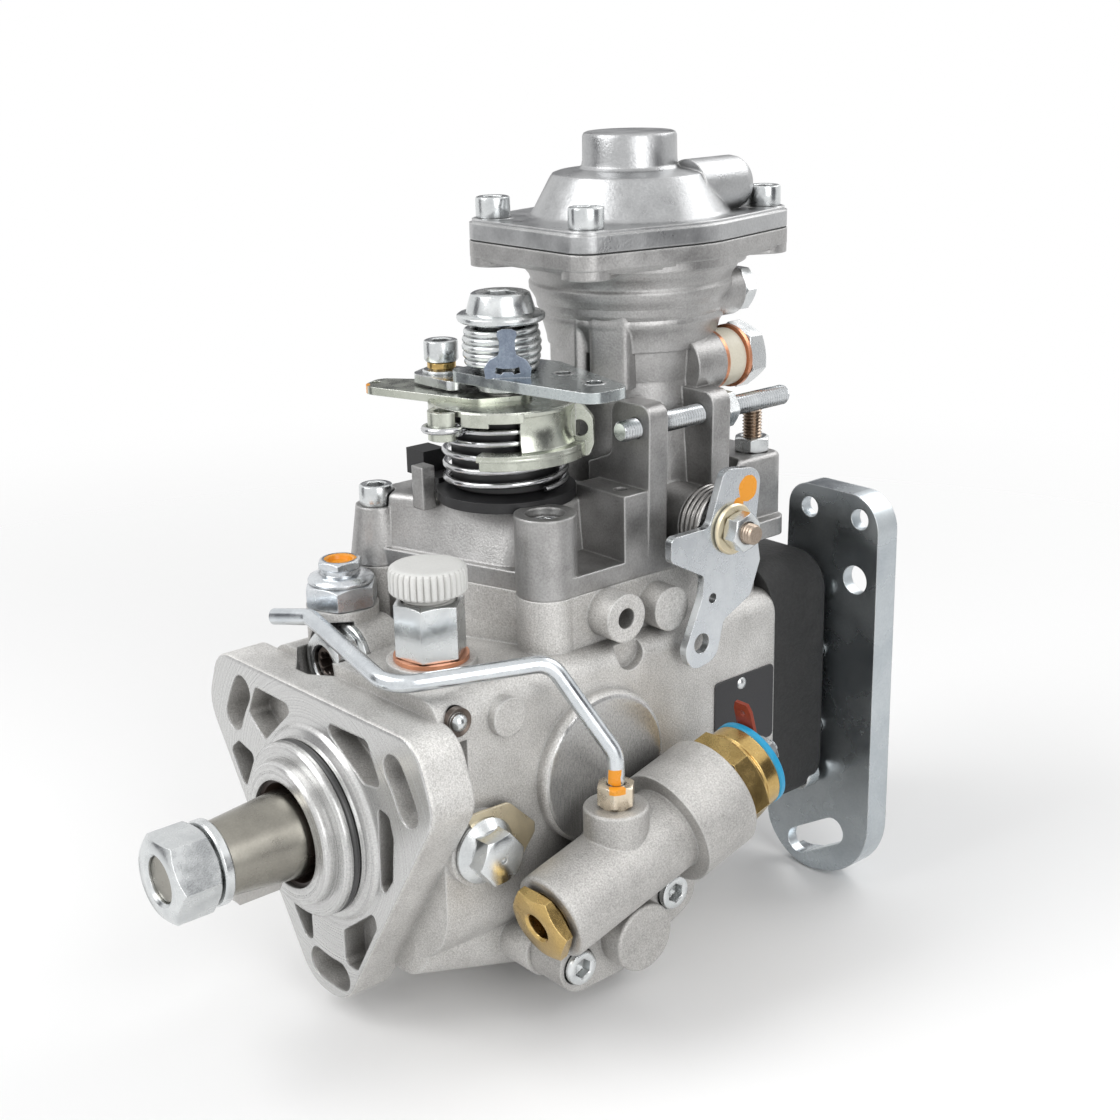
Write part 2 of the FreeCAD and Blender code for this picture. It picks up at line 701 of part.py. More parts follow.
def cam_drive():
    """Cross disc coupling, roller ring and rollers, cam plate, plunger, collar and springs."""
    half = claw_width / 2 + 0.1
    disc = tube("Y", disc_r, 6.0, shaft_end_y + 0.3, disc_end_y)
    disc = disc.cut(box(-disc_r, disc_r, shaft_end_y, shaft_end_y + claw_height + 0.3, -half, half))
    disc = disc.cut(box(-half, half, disc_end_y - claw_height - 0.3, disc_end_y, -disc_r, disc_r))
    ring = tube("Y", ring_r, ring_bore_r, ring_y, roller_y)
    pin = cyl("Z", timing_pin_r, timing_z - 3.0, -ring_bore_r - 2, 0, timing_y)
    ring = ring.cut(cyl("Z", timing_pin_r, -ring_r - 1, 1 - ring_bore_r, 0, timing_y))
    rollers = []
    for i in range(roller_count):
        angle = 360 / roller_count * i + 90
        inner, outer = roller_track_r - roller_length / 2, roller_track_r + roller_length / 2
        pocket = cyl("X", roller_r + run_gap, inner - 0.1, outer + 0.1, roller_y, 0)
        roller = cyl("X", roller_r, inner, outer, roller_y, 0)
        for piece in (pocket, roller):
            piece.rotate(V(0, 0, 0), V(0, 1, 0), -angle)
        ring = ring.cut(pocket)
        rollers.append(roller)
    bridge = all_of([tube("Y", bridge_r, plunger_r + 0.5, bridge_y, bridge_y + bridge_t),
                     box(-bridge_reach, -plunger_r - 2, bridge_y, bridge_y + bridge_t, -4.5, 4.5),
                     box(plunger_r + 2, bridge_reach, bridge_y, bridge_y + bridge_t, -4.5, 4.5)]
                    + [cyl("Y", return_r + 1.8, bridge_y, bridge_y + bridge_t,
                           side * bridge_reach) for side in (-1, 1)])
    collar = tube("Y", collar_out_r, plunger_r + run_gap, collar_y, collar_y + collar_w)
    collar = collar.cut(cyl("Z", 2.5, 0, collar_out_r + 1, 0, ball_y))
    springs = [coil("Y", return_r, return_wire_r, bridge_y + bridge_t, spigot_y, 4, side * bridge_reach)
               for side in (-1, 1)]
    return {"cross_disc": disc, "roller_ring": group([ring, pin]), "cam_rollers": group(rollers),
            "cam_plate": cam_plate(),
            "distributor_plunger": plunger(), "control_collar": collar, "plunger_springs": group(springs),
            "spring_bridge": bridge}


def cam_plate():
    """Face cam with one lobe for each cylinder and the two claws that its disc drives."""
    plate = tube("Y", cam_r, plunger_r, cam_base_y, foot_y)
    lobes = []
    for i in range(cam_count):
        middle = 360 / cam_count * i + 60
        lobes += [kidney(roller_track_r, middle, 5.0, 7.0, cam_y, cam_base_y + 0.5),
                  kidney(roller_track_r, middle, 11.0, 7.0, cam_y + cam_lift / 2, cam_base_y + 0.5)]
    claws = []
    for turn in (0, 180):
        claw = box(-claw_width / 2, claw_width / 2, disc_end_y - claw_height, cam_base_y + 0.5, 7.5,
                   disc_r - 1.5)
        claw.rotate(V(0, 0, 0), V(0, 1, 0), turn)
        claws.append(claw)
    return all_of([plate] + lobes + claws)


def plunger():
    """Distributor plunger with its foot and the spill port across it."""
    stem = cyl("Y", plunger_r, cam_base_y + 1, body_rear_y + 18)
    foot = cyl("Y", foot_r, foot_y, foot_y + foot_t)
    return all_of([stem, foot]).cut(cyl("X", 1.5, -plunger_r, plunger_r, ball_y, 0))


def timing_device():
    """Piston across the bottom that turns the roller ring's pin, with its spring and cover."""
    spring_end = 20.0 - timing_wall_x
    piston = cyl("X", timing_r, 10 - timing_wall_x, timing_wall_x - 12, timing_y, timing_z)
    piston = piston.cut(cyl("Z", 4.6, timing_z - 5, timing_z + timing_r + 1, 0, timing_y))
    piston = piston.cut(cyl("X", 6.0, 9 - timing_wall_x, spring_end, timing_y, timing_z))
    spring = coil("X", 4.6, 0.9, -timing_wall_x, spring_end, 4, timing_y, timing_z)
    face = -side_x - 8
    cover = cyl("X", timing_r + timing_wall, face, face + 4, timing_y, timing_z)
    plug = cyl("X", timing_r, face + 4, -timing_wall_x, timing_y, timing_z)
    return {"timing_piston": piston, "timing_spring": spring,
            "timing_cover": soft(all_of([cover, plug]), "X", face, 1.0)}


def distributor_head():
    """Black cast head with its spigot in the housing, plunger bore, valve holes and screw holes."""
    points = [(-head_half, head_bottom, 14), (head_half, head_bottom, 14), (head_half, head_top, 12),
              (-head_half, head_top, 12)]
    block = soft(prism("Y", points, body_rear_y, head_rear_y), "Y", head_rear_y, 5.0)
    head = all_of([block, cyl("Y", chamber_r - seat_gap, spigot_y, body_rear_y + 1)])
    head = head.cut(cyl("Y", plunger_r + run_gap, spigot_y - 1, body_rear_y + 20))
    head = head.cut(cyl("Y", centre_plug_r - 2, body_rear_y + 19, head_rear_y + 1))
    for x, z in head_screw_places():
        head = head.cut(cyl("Y", m6_r + free_gap, body_rear_y - 1, head_rear_y + 1, x, z))
        head = head.cut(cyl("Y", m6_head_r + 0.5, head_rear_y - m6_head_h - 1, head_rear_y + 1, x, z))
    for x, z in valve_places():
        head = head.cut(cyl("Y", valve_r - 1.5, head_rear_y - 14, head_rear_y + 1, x, z))
    for x, z in bracket_screw_places():
        head = head.cut(cyl("Y", m6_r + seat_gap, head_rear_y - 14, head_rear_y + 1, x, z))
    return head


def valve_places():
    return [polar(valve_circle_r, 360 / valve_count * i + 30) for i in range(valve_count)]


def bracket_screw_places():
    return [(head_half - 6.0, 16.0), (head_half - 6.0, -10.0)]


def delivery_valves():
    """Delivery valve holders round the middle of the head's rear face."""
    holders = []
    for x, z in valve_places():
        holder = all_of([cyl("Y", valve_r - 1.5, head_rear_y - 14, head_rear_y, x, z),
                         hexagon("Y", 2 * valve_r, head_rear_y, head_rear_y + 9, x, z),
                         cyl("Y", valve_r - 1.2, head_rear_y + 9, head_rear_y + valve_length, x, z)])
        holders.append(holder.cut(cyl("Y", 1.5, head_rear_y - 15, head_rear_y + valve_length + 1, x, z)))
    return {"delivery_valves": group(holders)}


def rear_bracket():
    """Pressed support plate with a turned-back rim, round holes and a slanted slot."""
    right, top, bottom = 57.0, 70.0, -65.0
    points = [(9, -46, 14), (26, bottom, 18), (right, bottom + 9, 22), (right, top, 11), (21, top, 8),
              (20, 32, 4),
              (33.5, 26, 4), (33.5, -20, 8)]
    plate = prism("Y", points, bracket_y, bracket_y + bracket_t)
    lip = prism("Y", points, bracket_y + bracket_t - 1, bracket_y + bracket_lip)
    inner = [(0, -52 + bracket_t, 8), (26 - bracket_t, bottom + bracket_t, 14),
             (right - bracket_t, bottom + 9 + bracket_t, 18), (right - bracket_t, top - bracket_t, 7),
             (12, top - bracket_t, 3), (12, 30, 3), (26, 18, 3), (26, -16, 3), (0, -34, 5)]
    lip = lip.cut(prism("Y", inner, bracket_y, bracket_y + bracket_lip + 1))
    holes = [cyl("Y", 3.3, bracket_y - 1, bracket_y + bracket_t + 1, x, z) for x,
             z in ((29.5, 62.6), (49.7, 62.6))]
    holes.append(cyl("Y", 4.6, bracket_y - 1, bracket_y + bracket_t + 1, 48.5, 42.8))
    slot = prism("Y", [(-13, -4.5, 4.4), (13, -4.5, 4.4), (13, 4.5, 4.4), (-13, 4.5, 4.4)],
                 bracket_y - 1, bracket_y + bracket_t + 1)
    slot.rotate(V(0, 0, 0), V(0, 1, 0), -31)
    slot.translate(V(35.2, 0, -50.0))
    for x, z in bracket_screw_places():
        holes.append(cyl("Y", m6_r + free_gap, bracket_y - 1, bracket_y + bracket_t + 1, x, z))
    plate = all_of([plate, lip])
    for hole in holes + [slot]:
        plate = plate.cut(hole)
    return {"rear_bracket": plate}


def boost_outline(z0, z1, grow):
    """The flange of the boost unit: a disc with four ears."""
    pieces = [cyl("Z", bowl_r + grow, z0, z1, 0, boost_y)]
    for x, y in boost_screw_places():
        ear = 7.0 + grow
        web = box(0, bowl_ear_r, -ear, ear, z0, z1)
        web.rotate(V(0, 0, 0), V(0, 0, 1), math.degrees(math.atan2(y - boost_y, x)))
        web.translate(V(0, boost_y, 0))
        pieces += [cyl("Z", ear, z0, z1, x, y), web]
    return all_of(pieces)


def boost_screw_places():
    return [polar(bowl_ear_r, angle, 0, boost_y) for angle in (-120, -60, 60, 120)]


def governor_cover():
    """Cast cover: flange, body, lugs, neck and the lower bowl of the boost unit."""
    flange_plate = prism("Z", deck_points(cover_rear_y, 0), seam_z, flange_top_z)
    front = deck_front_y
    low = [(-37, front + 2.6, 6), (17, front + 18.6, 7), (17, cover_rear_y - 1, 5),
           (-37, cover_rear_y - 1, 5)]
    high = [(-35.5, front + 4.6, 6), (15.4, front + 26.1, 8), (15.4, cover_rear_y - 2, 5),
            (-35.5, cover_rear_y - 2, 5)]
    body = soft(drafted("Z", low, flange_top_z - 1, high, cover_top), "Z", cover_top, 2.0)
    bosses = [cyl("Z", corner_boss_r, seam_z, cover_screw_seat(x), x, y) for x, y in cover_screw_places()[2:]]
    bosses.append(cone("Z", corner_boss_r, left_boss_r, seam_z, cover_screw_seat(left_screw_x),
                       left_screw_x, left_screw_y))
    bosses.append(cyl("Z", corner_boss_r, seam_z, right_boss_top, right_screw_x, right_screw_y))
    block_y = lug_y0 - 9
    bosses.append(box(14, deck_right, block_y, block_y + tapped_block_reach, flange_top_z - 1, tapped_block_z))
    bosses.append(box(-15, -10, throttle_y - 22.4, throttle_y - 18, cover_top - 2, cover_top + 10.5))
    bowl = turned("Z", [(0, seam_z + 10), (neck_r + 3, seam_z + 10), (neck_r + 2, cover_top + 4),
                        (neck_r, boost_seam - 40),
                        (neck_r + 1, boost_seam - 28), (neck_r + 5, boost_seam - 20),
                        (neck_r + 6, boost_seam - 14),
                        (bowl_r - 3, boost_seam - bowl_flange_t),
                        (bowl_r - 3, boost_seam), (0, boost_seam)], 0, boost_y)
    lugs = []
    for y in (lug_y0, lug_y1):
        points = [(10, flange_top_z - 1, 0.5), (35, flange_top_z - 1, 0.5), (36, lug_top_z, 4),
                  (20, lug_top_z, 4),
                  (20, cover_top + 12, 3), (10, cover_top + 8, 0.5)]
        lugs.append(prism("Y", points, y, y + lug_w))
    stud_block = soft(prism("Z", [(6, stud_y - 15, 2), (31, stud_y - 15, 2), (31, stud_y + 6, 4),
                                  (6, stud_y + 6, 4)],
                            seam_z + 1, stud_base_z), "Z", stud_base_z, 1.5)
    overflow = cyl("Y", 9.0, boost_y, overflow_y, overflow_x, overflow_z)
    plug_boss = cyl("Y", 7.5, boost_y, boost_plug_y, boost_plug_x, boost_plug_z)
    stop_boss = cyl("X", 9.5, 10, deck_right + 0.5, stop_y, stop_z)
    ears = boost_outline(boost_seam - bowl_flange_t, boost_seam, 0)
    cover = all_of([flange_plate, body, bowl, stud_block, overflow, plug_boss, stop_boss,
                    ears] + lugs + bosses)
    for cut in cover_cuts():
        cover = cover.cut(cut)
    return cover


def cover_cuts():
    """The hollow of the cover, its bores and screw holes."""
    front = gear_y - 2.0
    hollow = prism("Z", [(window_left, front, 3), (hollow_right, front + 12, 3),
                         (hollow_right, window_rear, 3),
                         (window_left, window_rear, 3)], seam_z - 1, hollow_top_z)
    gear_room = cyl("Y", governor_pitch_r + gear_module + 1, gear_y - 0.8, gear_end + 8, governor_x,
                    governor_z)
    cuts = [hollow, gear_room, cyl("Z", 2.0, tapped_block_z - 9, tapped_block_z + 1, 28, lug_y0 - 4),
             cyl("Z", throttle_shaft_r + run_gap, seam_z, cover_top + 5, 0, throttle_y),
            cyl("Z", boost_pin_r + run_gap, seam_z, boost_seam, 0, boost_y),
            cyl("Z", 10.0, boost_seam - boost_spring_l, boost_seam + 1, 0, boost_y),
            cone("Z", 10.0, bowl_r - 8, boost_seam - 14, boost_seam + tiny, 0, boost_y),
            cyl("X", stop_r + run_gap, 0, deck_right + 5, stop_y, stop_z),
            cyl("Z", seat_r + free_gap, cover_top, tapped_block_z + 1, 0, throttle_y)]
    for x, y in cover_screw_places():
        cuts.append(cyl("Z", m6_r + free_gap, seam_z - 1, cover_top, x, y))
        cuts.append(cyl("Z", m6_head_r + 0.6, cover_screw_seat(x), cover_top + 8, x, y))
    for x, y in boost_screw_places():
        cuts.append(cyl("Z", m6_r + seat_gap, boost_seam - bowl_flange_t - 1, boost_seam + 1, x, y))
    cuts.append(cyl("Y", screw_r + seat_gap, lug_y0 - 1, lug_y1 + lug_w + 1, screw_lug_x, screw_lug_z))
    cuts.append(cyl("Y", 9.8, overflow_y, cover_rear_y + 10, overflow_x, overflow_z))
    cuts.append(cyl("Y", 7.6, boost_plug_y, cover_rear_y + 10, boost_plug_x, boost_plug_z))
    cuts.append(cyl("Y", 5.0 + seat_gap, overflow_y - 8, overflow_y + 1, overflow_x, overflow_z))
    cuts.append(cyl("Y", 4.5 + seat_gap, boost_plug_y - 10, boost_plug_y + 1, boost_plug_x, boost_plug_z))
    cuts.append(cyl("Z", screw_r + seat_gap, stud_base_z - 10, stud_base_z + 1, stud_x, stud_y))
    return cuts


def boost_unit():
    """Lid with dome and port, diaphragm, spring and pin above the cover's bowl."""
    dome = turned("Z", [(0, lid_top - 1), (bowl_r, lid_top - 1), (dome_r + 3, lid_top + 1.5),
                        (dome_r, lid_top + 3), (dome_r - 7, dome_top - 2), (dome_r - 9, dome_top),
                        (cap_r, dome_top), (cap_r, cap_top - 1), (cap_r - 1, cap_top), (0, cap_top)], 0,
                  boost_y)
    port = soft(cyl("Y", port_r, boost_y + 5, port_end_y, port_x, port_z), "Y", port_end_y, 1.0)
    inside = turned("Z", [(0, boost_lid - 1), (dome_r - 1, boost_lid - 1), (dome_r - 2, lid_top + 1),
                          (dome_r - 10, dome_top - 5), (0, dome_top - 5)], 0, boost_y)
    lid = all_of([boost_outline(boost_lid, lid_top, 0), dome, port])
    lid = lid.cut(inside).cut(cyl("Y", port_bore_r, boost_y + 12, port_end_y + 1, port_x, port_z))
    diaphragm = boost_outline(boost_seam, boost_lid, -0.4)
    for x, y in boost_screw_places():
        hole = cyl("Z", m6_r + free_gap, boost_seam - 1, lid_top + 1, x, y)
        lid = lid.cut(hole)
        diaphragm = diaphragm.cut(hole)
    diaphragm = diaphragm.cut(cyl("Z", boost_pin_r, boost_seam - 1, boost_lid + 1, 0, boost_y))
    pin = all_of([cyl("Z", boost_pin_r, hollow_top_z - 4, boost_lid + 3, 0, boost_y),
                  cyl("Z", 14.0, boost_lid + 0.1, boost_lid + 2.0, 0, boost_y)])
    spring = coil("Z", 7.4, 1.0, boost_seam - boost_spring_l, boost_seam - 0.3, 5, 0, boost_y)
    return {"boost_cover": lid, "boost_diaphragm": diaphragm, "boost_pin": pin, "boost_spring": spring}


def throttle():
    """Throttle shaft, spring seat, return spring, stop bracket, lever, small spring and top nut."""
    y = throttle_y
    shaft = all_of([cyl("Z", throttle_shaft_r, hollow_top_z - 1.5, nut_flange_z + 4, 0, y),
                    cyl("Z", 6.5, bracket_z + 1.6, lever_z - lever_t, 0, y),
                    cyl("Z", 2.0, spring_pin_z - 3, hollow_top_z, 0, y + 2.5)])
    top = bracket_z - 2.6
    seat = turned("Z", [(throttle_shaft_r - 1, seat_z), (seat_r, seat_z), (seat_r, seat_z + 3.0),
                        (drum_r, seat_z + 4.0), (drum_r, top), (throttle_shaft_r - 1, top)], 0, y)
    seat = all_of([seat, box(-28, -15, y - 13, y - 5, seat_z, seat_z + 4.5),
                   box(-30.5, -22, y - 13, y - 5, seat_z + 3.4, seat_z + 11)])
    seat = seat.cut(cyl("Z", throttle_shaft_r + run_gap, seat_z, top, 0, y))
    spring = coil("Z", coil_r, coil_wire_r, coil_base, coil_base + coil_height, coil_turns, 0, y)
    inner = skirt_r - skirt_t
    bracket = all_of([tube("Z", skirt_r, throttle_shaft_r, bracket_z, bracket_z + 1.6, 0, y),
                      band(inner, skirt_r, skirt_low_z, bracket_z + 1, -27, 55, y),
                      band(inner, skirt_r, bracket_z - 8, bracket_z + 1, -128, 48, y),
                      band(inner, skirt_r + 2, skirt_low_z - 0.5, skirt_low_z + 1.1, -62, 92, y)])
    small = coil("Z", upper_coil_r, 1.2, lever_z + lever_t, nut_flange_z, 4, 0, y)
    nut = all_of([cyl("Z", 12.5, nut_flange_z, nut_flange_z + 2.5, 0, y),
                  cyl("Z", 8.8, nut_flange_z + 2, throttle_nut_top, 0, y)])
    nut = soft(nut, "Z", throttle_nut_top, 1.0).cut(hexagon("Z", 8.0, throttle_nut_top - 3.5,
                                                            throttle_nut_top + 1, 0, y))
    nut = nut.cut(cyl("Z", throttle_shaft_r, nut_flange_z - 1, nut_flange_z + 4, 0, y))
    hidden = coil("Y", 2.2, 0.6, y + 6.0, lever_y - 0.4, 5, 0, spring_pin_z - 1.6)
    return {"throttle_shaft": shaft, "throttle_spring_seat": seat, "throttle_return_spring": spring,
            "throttle_stop_bracket": bracket, "throttle_lever": throttle_lever(),
            "throttle_upper_spring": small,
            "throttle_top_nut": nut, "governor_spring": hidden}


def band(bore, r, z0, z1, start, sweep, v):
    """Part of a tube about a vertical axis at x = 0, from a starting angle."""
    corners = [V(bore, v, z0), V(r, v, z0), V(r, v, z1), V(bore, v, z1)]
    shape = Part.Face(Part.makePolygon(corners + corners[:1])).revolve(V(0, v, 0), V(0, 0, 1), sweep)
    shape.rotate(V(0, v, 0), V(0, 0, 1), start)
    return shape


def throttle_lever():
    """Two lever plates on one hub, with the clamp screw that holds them together."""
    y = throttle_y
    lower = prism("Z", [(10, y + 6, 5), (2, y - 12, 5), (-36, y - 24, 5), (-41, y - 14, 4),
                        (-12, y + 9, 6)],
                  lever_z - lever_t, lever_z)
    arm = prism("Z", [(-14, y - 6, 6), (2, y - 13, 6), (32, y + 10, 5), (28, y + 25, 5), (12, y + 16, 4),
                      (-8, y + 12, 6)], lever_z, lever_z + lever_t)
    tab = box(-5, 0, y - 12.6, y - 11.2, lever_z + lever_t - 0.5, lever_z + 15)
    lever = all_of([lower, arm, cyl("Z", 8.0, lever_z, lever_z + 6, 0, y), tab])
    lever = lever.cut(cyl("Z", throttle_shaft_r, lever_z - 10, lever_z + 10, 0, y))
    lever = lever.cut(cyl("Z", m6_r + seat_gap, lever_z - lever_t - 1, lever_z + 1, clamp_x, clamp_y))
    for u, v, r in ((24.5, y + 11, 2.2), (26.0, y + 18, 2.8)):
        lever = lever.cut(cyl("Z", r, lever_z - 5, lever_z + 5, u, v))
    return group([lever, socket_screw("Z", 1, lever_z, lever_t, clamp_x, clamp_y)])


def adjusting_screws():
    """Full load and idle screws in their lugs, their lock nut, and the stop stud with its nut."""
    x, z = screw_lug_x, screw_lug_z
    nut_seat = lug_y1 + lug_w
    pieces = [cyl("Y", screw_r, lug_y1 - 7, lug_y1 + 36, x, z),
              cyl("Y", screw_r, lug_y0 - 6, lug_y0 + lug_w + 3, x, z),
              hex_nut("Y", 10.0, nut_seat, nut_seat + 5, screw_r, x, z),
              cyl("Z", screw_r, stud_base_z - 9, stud_base_z + 13, stud_x, stud_y),
              hex_nut("Z", 10.0, stud_base_z, stud_base_z + 4.5, screw_r, stud_x, stud_y)]
    return {"adjusting_screws": group(pieces)}


def stop_lever():
    """Stop shaft through the cover's side, with its lever, spring, washer and nut."""
    outer = stop_plate_x + stop_plate_t
    shaft = all_of([cyl("X", stop_r, hollow_right - 4, stop_plate_x, stop_y, stop_z),
                    cyl("X", 3.0, stop_plate_x - 1, stop_plate_x + 12, stop_y, stop_z)])
    around = [(-3, 18, 4), (12, 16, 5), (10, -1, 2), (12, -12, 3), (8, -22, 3), (-3, -27, 3), (-6, -38, 5),
              (-17, -40, 5), (-18.5, -33, 4), (-11.5, -18, 3), (-11, -12, 2), (-24, -5, 2), (-24, 2, 2),
              (-9, 2, 3)]
    plate = prism("X", [(stop_y + a, stop_z + b, r) for a, b, r in around], stop_plate_x, outer)
    for y, z, r in ((stop_y, stop_z, 3.0), (stop_y - 12, stop_z - 32, 3.0),
                    (stop_y - 7.6, stop_z - 19.3, 1.5)):
        plate = plate.cut(cyl("X", r, stop_plate_x - 1, outer + 1, y, z))
    spring = coil("X", 8.0, 1.2, deck_right + 0.8, stop_plate_x - 0.3, 3, stop_y, stop_z)
    washer = tube("X", 7.5, 3.0, outer, outer + 1.5, stop_y, stop_z)
    nut = hex_nut("X", 10.0, outer + 1.5, outer + 6.5, 3.0, stop_y, stop_z)
    return {"stop_shaft": group([shaft, washer, nut]), "stop_lever": plate, "stop_lever_spring": spring}


def tilt(shape):
    """From the cold-start device's own frame to its place on the housing's side."""
    shape.rotate(V(0, 0, 0), V(1, 0, 0), cold_tilt)
    shape.translate(V(cold_x, cold_y, cold_z))
    return shape


def cold_start():
    """Inclined valve body with union boss, mounting pad, brass plug and solenoid."""
    barrel = soft(cyl("Y", cold_r, cold_front, cold_rear - 10), "Y", cold_front, 1.0)
    big = soft(cyl("Y", cold_big_r, cold_rear - 20, cold_rear), "Y", cold_rear, 1.5)
    tower = soft(cyl("Z", 9.0, cold_z, union_z, cold_x, cold_y), "Z", union_z, 0.8)
    pad = prism("X", [(36, -46, 8), (60, -46, 9), (89, -34, 8), (89, -10, 8), (66, 0, 5), (40, -20, 7)],
                cold_base_x, cold_x - 4)
    lug = soft(cyl("X", 10.0, cold_base_x, cold_x + 4, 62, -33), "X", cold_x + 4, 1.0)
    body = all_of([tilt(all_of([barrel, big])), tower, pad, lug])
    body = body.cut(tilt(cyl("Y", 8.0 + seat_gap, cold_front - 1, cold_front + 12)))
    body = body.cut(tilt(cyl("Y", 9.0 + seat_gap, cold_rear - 12, cold_rear + 1)))
    body = body.cut(cyl("Z", 4.0 + seat_gap, -2, union_z + 1, cold_x, cold_y))
    for y, z in cold_screw_places():
        body = body.cut(cyl("X", m6_r + free_gap, cold_base_x - 1, cold_x + 20, y, z))
        body = body.cut(cyl("X", m6_head_r + 0.4, cold_seat_x, cold_x + 30, y, z))
    plug = all_of([cyl("Y", 8.0, cold_front, cold_front + 10),
                   hexagon("Y", 19.0, cold_front - 5, cold_front)])
    plug = plug.cut(cyl("Y", 3.2, cold_front - 6, cold_front + 4))
    solenoid = all_of([cyl("Y", 9.0, cold_rear - 11, cold_rear),
                       hexagon("Y", 27.0, cold_rear, cold_rear + 10),
                       cyl("Y", 13.0, cold_rear + 9, cold_rear + 18),
                       cyl("Y", 12.0, cold_rear + 17, cold_rear + 20),
                       cyl("Y", 3.0, cold_rear + 19, cold_rear + 25),
                       box(-4, 4, cold_rear + 19, cold_rear + 20, 4, 15)])
    return {"cold_start_housing": body, "cold_start_plug": tilt(plug), "solenoid": tilt(solenoid)}


def pipe_path(points):
    """A wire of straight runs joined by tangent arcs, from (point, bend radius) pairs."""
    edges = []
    last = points[0][0]
    for (before, _), (here, r), (after, _) in zip(points, points[1:], points[2:]):
        back = (before - here).normalize()
        ahead = (after - here).normalize()
        half = back.getAngle(ahead) / 2
        start = here + back * (r / math.tan(half))
        end = here + ahead * (r / math.tan(half))
        middle = here + (back + ahead).normalize() * (r / math.sin(half) - r)
        edges += [Part.makeLine(last, start), Part.Arc(start, middle, end).toShape()]
        last = end
    edges.append(Part.makeLine(last, points[-1][0]))
    return Part.Wire(edges)


def fuel_pipe():
    """Steel pipe from the cold-start device over the flange to the far side, with its union."""
    low = V(cold_x, cold_y, union_z + 1)
    points = [(low, 0), (V(cold_x, cold_y, union_z + 15), 8), (V(50, 43, 50), 7), (V(31, 4.5, 48.2), 10),
              (V(-19.5, 13.4, 52), 6), (V(-33, 10, 49.5), 0)]
    section = Part.Wire(Part.makeCircle(pipe_r, low, V(0, 0, 1)))
    pipe = pipe_path(points).makePipeShell([section], True, False)
    union = all_of([hexagon("Z", 9.5, union_z, union_z + 6.5, cold_x, cold_y),
                    cyl("Z", 4.0, 1, union_z, cold_x, cold_y)])
    return {"fuel_pipe": group([pipe, union.cut(cyl("Z", pipe_r, 0, 20, cold_x, cold_y))])}


def top_fittings():
    """Inlet fitting with its cap, vent valve and regulating valve in front of the deck."""
    x, y, base = inlet_x, inlet_y, inlet_base + copper_t
    fitting = all_of([hexagon("Z", 17.5, base, base + 17, x, y, 10),
                      cyl("Z", 7.2, base + 17, base + 21, x, y)])
    fitting = fitting.cut(cyl("Z", 5.0, base - 1, base + 22, x, y))
    cap = cyl("Z", 10.8, base + 19.5, base + 28, x, y).cut(cyl("Z", 7.2, base + 19, base + 21, x, y))
    vent = all_of([cyl("Z", 10.0, vent_base, vent_base + 1.5, vent_x, vent_y),
                   hexagon("Z", 17.0, vent_base + 1, vent_base + 6, vent_x, vent_y),
                   hexagon("Z", 12.0, vent_base + 5, vent_base + 11, vent_x, vent_y, 15)])
    u, v, rear = regulator_x, regulator_z, regulator_y
    regulator = all_of([hexagon("Y", 17.0, rear - 10, rear - 2, u, v), cyl("Y", 9.8, rear - 3, rear, u, v),
                        cyl("Y", regulator_bore_r, rear, rear + 8, u, v)])
    regulator = regulator.cut(cyl("Y", 5.0, rear - 11, rear - 7, u, v))
    return {"inlet_fitting": fitting, "inlet_cap": soft(cap, "Z", base + 28, 1.0), "vent_valve": vent,
            "regulating_valve": regulator}


def plugs_and_washers():
    """Overflow fitting, copper washers, and the plugs that close bores of the castings."""
    x, y, z = overflow_x, overflow_y, overflow_z
    outer = y + copper_t + 7.6
    overflow = all_of([cyl("Y", 5.0, y - 7, outer + copper_t, x, z),
                       cyl("Y", 8.5, y + copper_t, outer, x, z),
                       hexagon("Y", 17.0, outer + copper_t, outer + copper_t + 7, x, z)])
    washers = [tube("Y", 9.0, 5.0, y, y + copper_t, x, z), tube("Y", 9.4, 5.0, outer, outer + copper_t, x,
                                                                z),
               tube("Z", 10.5, 7.0, inlet_base, inlet_base + copper_t, inlet_x, inlet_y)]
    boss = side_x + 3.0
    side = all_of([cyl("X", 9.3, boss, boss + 2.5, side_plug_y, side_plug_z),
                   hexagon("X", 13.0, boss + 2, boss + 9, side_plug_y, side_plug_z)])
    rear = all_of([cyl("Y", 4.5, boost_plug_y - 9, boost_plug_y, boost_plug_x, boost_plug_z),
                   hexagon("Y", 12.0, boost_plug_y, boost_plug_y + 6, boost_plug_x, boost_plug_z)])
    centre = all_of([cyl("Y", centre_plug_r - 2, body_rear_y + 19, head_rear_y),
                     hexagon("Y", 2 * centre_plug_r, head_rear_y, head_rear_y + 8)])
    ball = Part.makeSphere(ball_plug_r, V(side_x - 1, ball_plug_y, ball_plug_z))
    return {"overflow_fitting": overflow, "copper_washers": group(washers),
            "closing_plugs": group([side, rear, centre, ball])}


def all_screws():
    """Every M6 socket screw of the pump."""
    screws = []
    for x, y in cover_screw_places():
        seat = cover_screw_seat(x)
        screws.append(socket_screw("Z", 1, seat, seat - seam_z + 12, x, y))
    screws += [socket_screw("Y", 1, head_rear_y - m6_head_h - 1, head_t + 5, x, z) for x,
               z in head_screw_places()]
    screws += [socket_screw("X", 1, cold_seat_x, cold_screw_l, y, z) for y, z in cold_screw_places()]
    screws += [socket_screw("Z", 1, lid_top, 13, x, y) for x, y in boost_screw_places()]
    screws += [socket_screw("Y", 1, bracket_y + bracket_t, 16, x, z) for x, z in bracket_screw_places()]
    return {"socket_screws": group(screws)}


